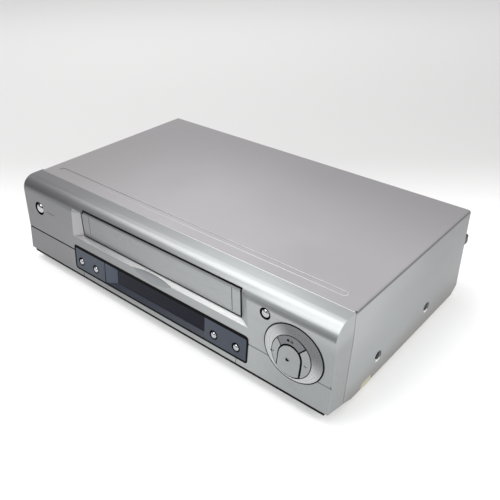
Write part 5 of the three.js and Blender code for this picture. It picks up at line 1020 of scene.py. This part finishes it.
def rear_details():
    """Louvres, screws and a bare plate on the rear sheet, and the sockets' metal."""
    rear_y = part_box("rear_panel")[1].y / MM
    louvres(rear_y)
    plate = slab(64, 20, 0.25, 1.2)
    placed(plate, (20, rear_y, 66, REARWARD), "rear_plate", "polished_aluminium")
    screws = ((-180, 84), (180, 84), (-74, 40), (74, 40), (0, 84))
    for number, (x, z) in enumerate(screws, 1):
        head = turned([
            (0, 0), (2.9, 0), (2.9, 0.5), (2.6, 0.95), (1.7, 1.15), (1.3, 0.5), (0, 0.4),
        ], 32)
        placed(head, (x, rear_y, z, REARWARD), f"rear_screw_{number}", "sheet_steel")
    for number in (1, 2):
        video_socket(number)

    low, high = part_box("aerial_block")
    aerial_y, aerial_z = high.y / MM - 0.62, (low.z + high.z) / 2 / MM
    for number, x in enumerate((159, 176), 1):
        sleeve = turned([(3.95, -8), (4.9, -8), (4.9, 0.35), (4.3, 0.6), (3.95, 0.35)], 40)
        place = (x, aerial_y, aerial_z, REARWARD)
        placed(sleeve, place, f"aerial_sleeve_{number}", "chrome_plate")

    audio_y, audio_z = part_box("audio_sockets")[1].y / MM, 22.5
    for word, x, slot in (("left", -14.5, "white_plastic"), ("right", -29.5, "socket_red")):
        ring = turned([(2.1, -1), (3.9, -1), (3.9, 0.15), (3.6, 0.3), (2.1, 0.3)], 40)
        placed(ring, (x, audio_y, audio_z, REARWARD), f"audio_{word}_ring", slot)
        collar = turned([(4.2, 0), (5.3, 0), (5.3, 1.6), (4.9, 2.1), (4.2, 2.1)], 40)
        place = (x, rear_y + LET_IN, audio_z, REARWARD)
        placed(collar, place, f"audio_{word}_collar", "chrome_plate")


def beside_notches():
    """The tray's skirt where the cover's foot is notched, and the aerial block's shoulder."""
    for word, side in SIDES:
        skirt = slab(17.4, 5.8, 1.1, 0.8)
        turn = Matrix.Rotation(side * pi / 2, 4, "Z")
        bmesh.ops.transform(skirt, matrix=turn, verts=skirt.verts)
        place = (side * (SIDE_X - 1.4), FRONT_Y + 55, 5.3)
        placed(skirt, place, f"{word}_notch_skirt", "cream_plastic")
    shoulder = slab(6.6, 10.4, 10.6, 2.2)
    placed(shoulder, (185.0, 117.6, 56), "aerial_shoulder", "black_plastic")


rear_details()
beside_notches()


# ---------------------------------------------------------------- floor, light and camera

def studio():
    """The paper floor: pale by the recorder, dimmer behind it and paler again far away."""
    near, dim, far = [0.92, 0.92, 0.92, 1], [0.6, 0.594, 0.592, 1], [0.78, 0.772, 0.77, 1]
    glow_share = 0.3
    ground = bmesh.new()
    bmesh.ops.create_grid(ground, x_segments=1, y_segments=1, size=9)
    mesh = bpy.data.meshes.new("studio_floor")
    ground.to_mesh(mesh)
    ground.free()
    floor = linked("studio_floor", mesh)
    sheet = Finish("studio_floor_paper", Roughness=0.7)
    away = sheet.axis("Y") - sheet.axis("X") * 0.84
    sweep = sheet.mix(sheet.between(away, 0.4, 1.6), dim, far)
    pale = sheet.mix(sheet.between(away, 0.02, 0.4), near, sweep)
    sheet.feed("Base Color", pale)
    camera_ray, glossy_ray, clear_ray = (
        sheet.node("ShaderNodeLightPath", {}, {}, f"Is {kind} Ray")
        for kind in ("Camera", "Glossy", "Transmission")
    )
    glow = sheet.node("ShaderNodeEmission", {}, {"Color": pale, "Strength": 1.0})
    blend = sheet.node(
        "ShaderNodeMixShader", {}, {"Fac": (camera_ray + glossy_ray + clear_ray) * glow_share}
    )
    sheet.tree.links.new(sheet.shader.outputs[0], blend.socket.node.inputs[1])
    sheet.tree.links.new(glow.socket, blend.socket.node.inputs[2])
    sheet.tree.links.new(blend.socket, sheet.tree.nodes["Material Output"].inputs["Surface"])
    mesh.materials.append(sheet.material)


def softbox(name, at, aim, width, height, watts):
    """A soft lamp at a place in metres, turned to face its aim."""
    light = bpy.data.lights.new(name, "AREA")
    light.shape = "RECTANGLE"
    light.size, light.size_y, light.energy = width, height, watts
    holder = linked(name, light)
    holder.location = at
    holder.rotation_euler = (Vector(aim) - Vector(at)).to_track_quat("-Z", "Y").to_euler()


def daylight():
    """The room: a pale ceiling and back wall, and a dimmer side behind the camera."""
    dim_side, ceiling = [0.1, 0.1, 0.105, 1], [0.6, 0.6, 0.605, 1]
    back_wall = [0.78, 0.775, 0.77, 1]
    world = bpy.data.worlds.new("studio_room")
    bpy.context.scene.world = world
    world.use_nodes = True
    room = Nodes(world.node_tree, "Generated")
    wall = room.mix(room.between(room.axis("Y"), -0.4, 0.6), dim_side, back_wall)
    sky = room.mix(room.between(room.axis("Z"), 0.2, 0.85), wall, ceiling)
    room.tree.links.new(sky.socket, room.tree.nodes["Background"].inputs["Color"])


def camera():
    """The photograph's camera: its place in metres, and the ways it looks and leans."""
    place = (0.3611, -0.4091, 0.3666)
    look = Vector((-0.547, 0.648, -0.530)).normalized()
    right = Vector((0.766, 0.642, -0.006)).normalized()
    lens = bpy.data.cameras.new("photo_camera")
    lens.lens = 45.37
    lens.sensor_width = 36
    holder = linked("photo_camera", lens)
    up = right.cross(look).normalized()
    right = look.cross(up)
    turn = Matrix((right, up, -look)).transposed().to_4x4()
    holder.matrix_world = Matrix.Translation(place) @ turn
    bpy.context.scene.camera = holder


studio()
# Each lamp: its place and aim in metres, its width and height, and its watts.
for name, at, aim, width, height, watts in (
    ("overhead_softbox", (0.25, -0.15, 1.9), (0, 0, 0), 1.4, 1.1, 6.0),
    ("brow_softbox", (-0.41, -1.2, 1.11), (0.1, -0.11, 0.09), 0.7, 1.3, 11.0),
    ("left_softbox", (-0.6, -0.25, 1.4), (0.1, -0.1, 0.09), 0.8, 1.2, 10.0),
    ("right_softbox", (0.98, -0.02, 0.8), (0.25, 0, 0), 0.7, 0.7, 5.5),
    ("window_softbox", (-0.75, 0.55, 1.3), (0.05, -0.09, 0.09), 0.8, 0.8, 4.2),
    ("key_softbox", (0.78, -0.8, 0.5), (0.1, -0.05, 0.05), 0.5, 0.5, 1.2),
):
    softbox(name, at, aim, width, height, watts)
daylight()
camera()
bpy.context.scene.view_settings.view_transform = "Standard"
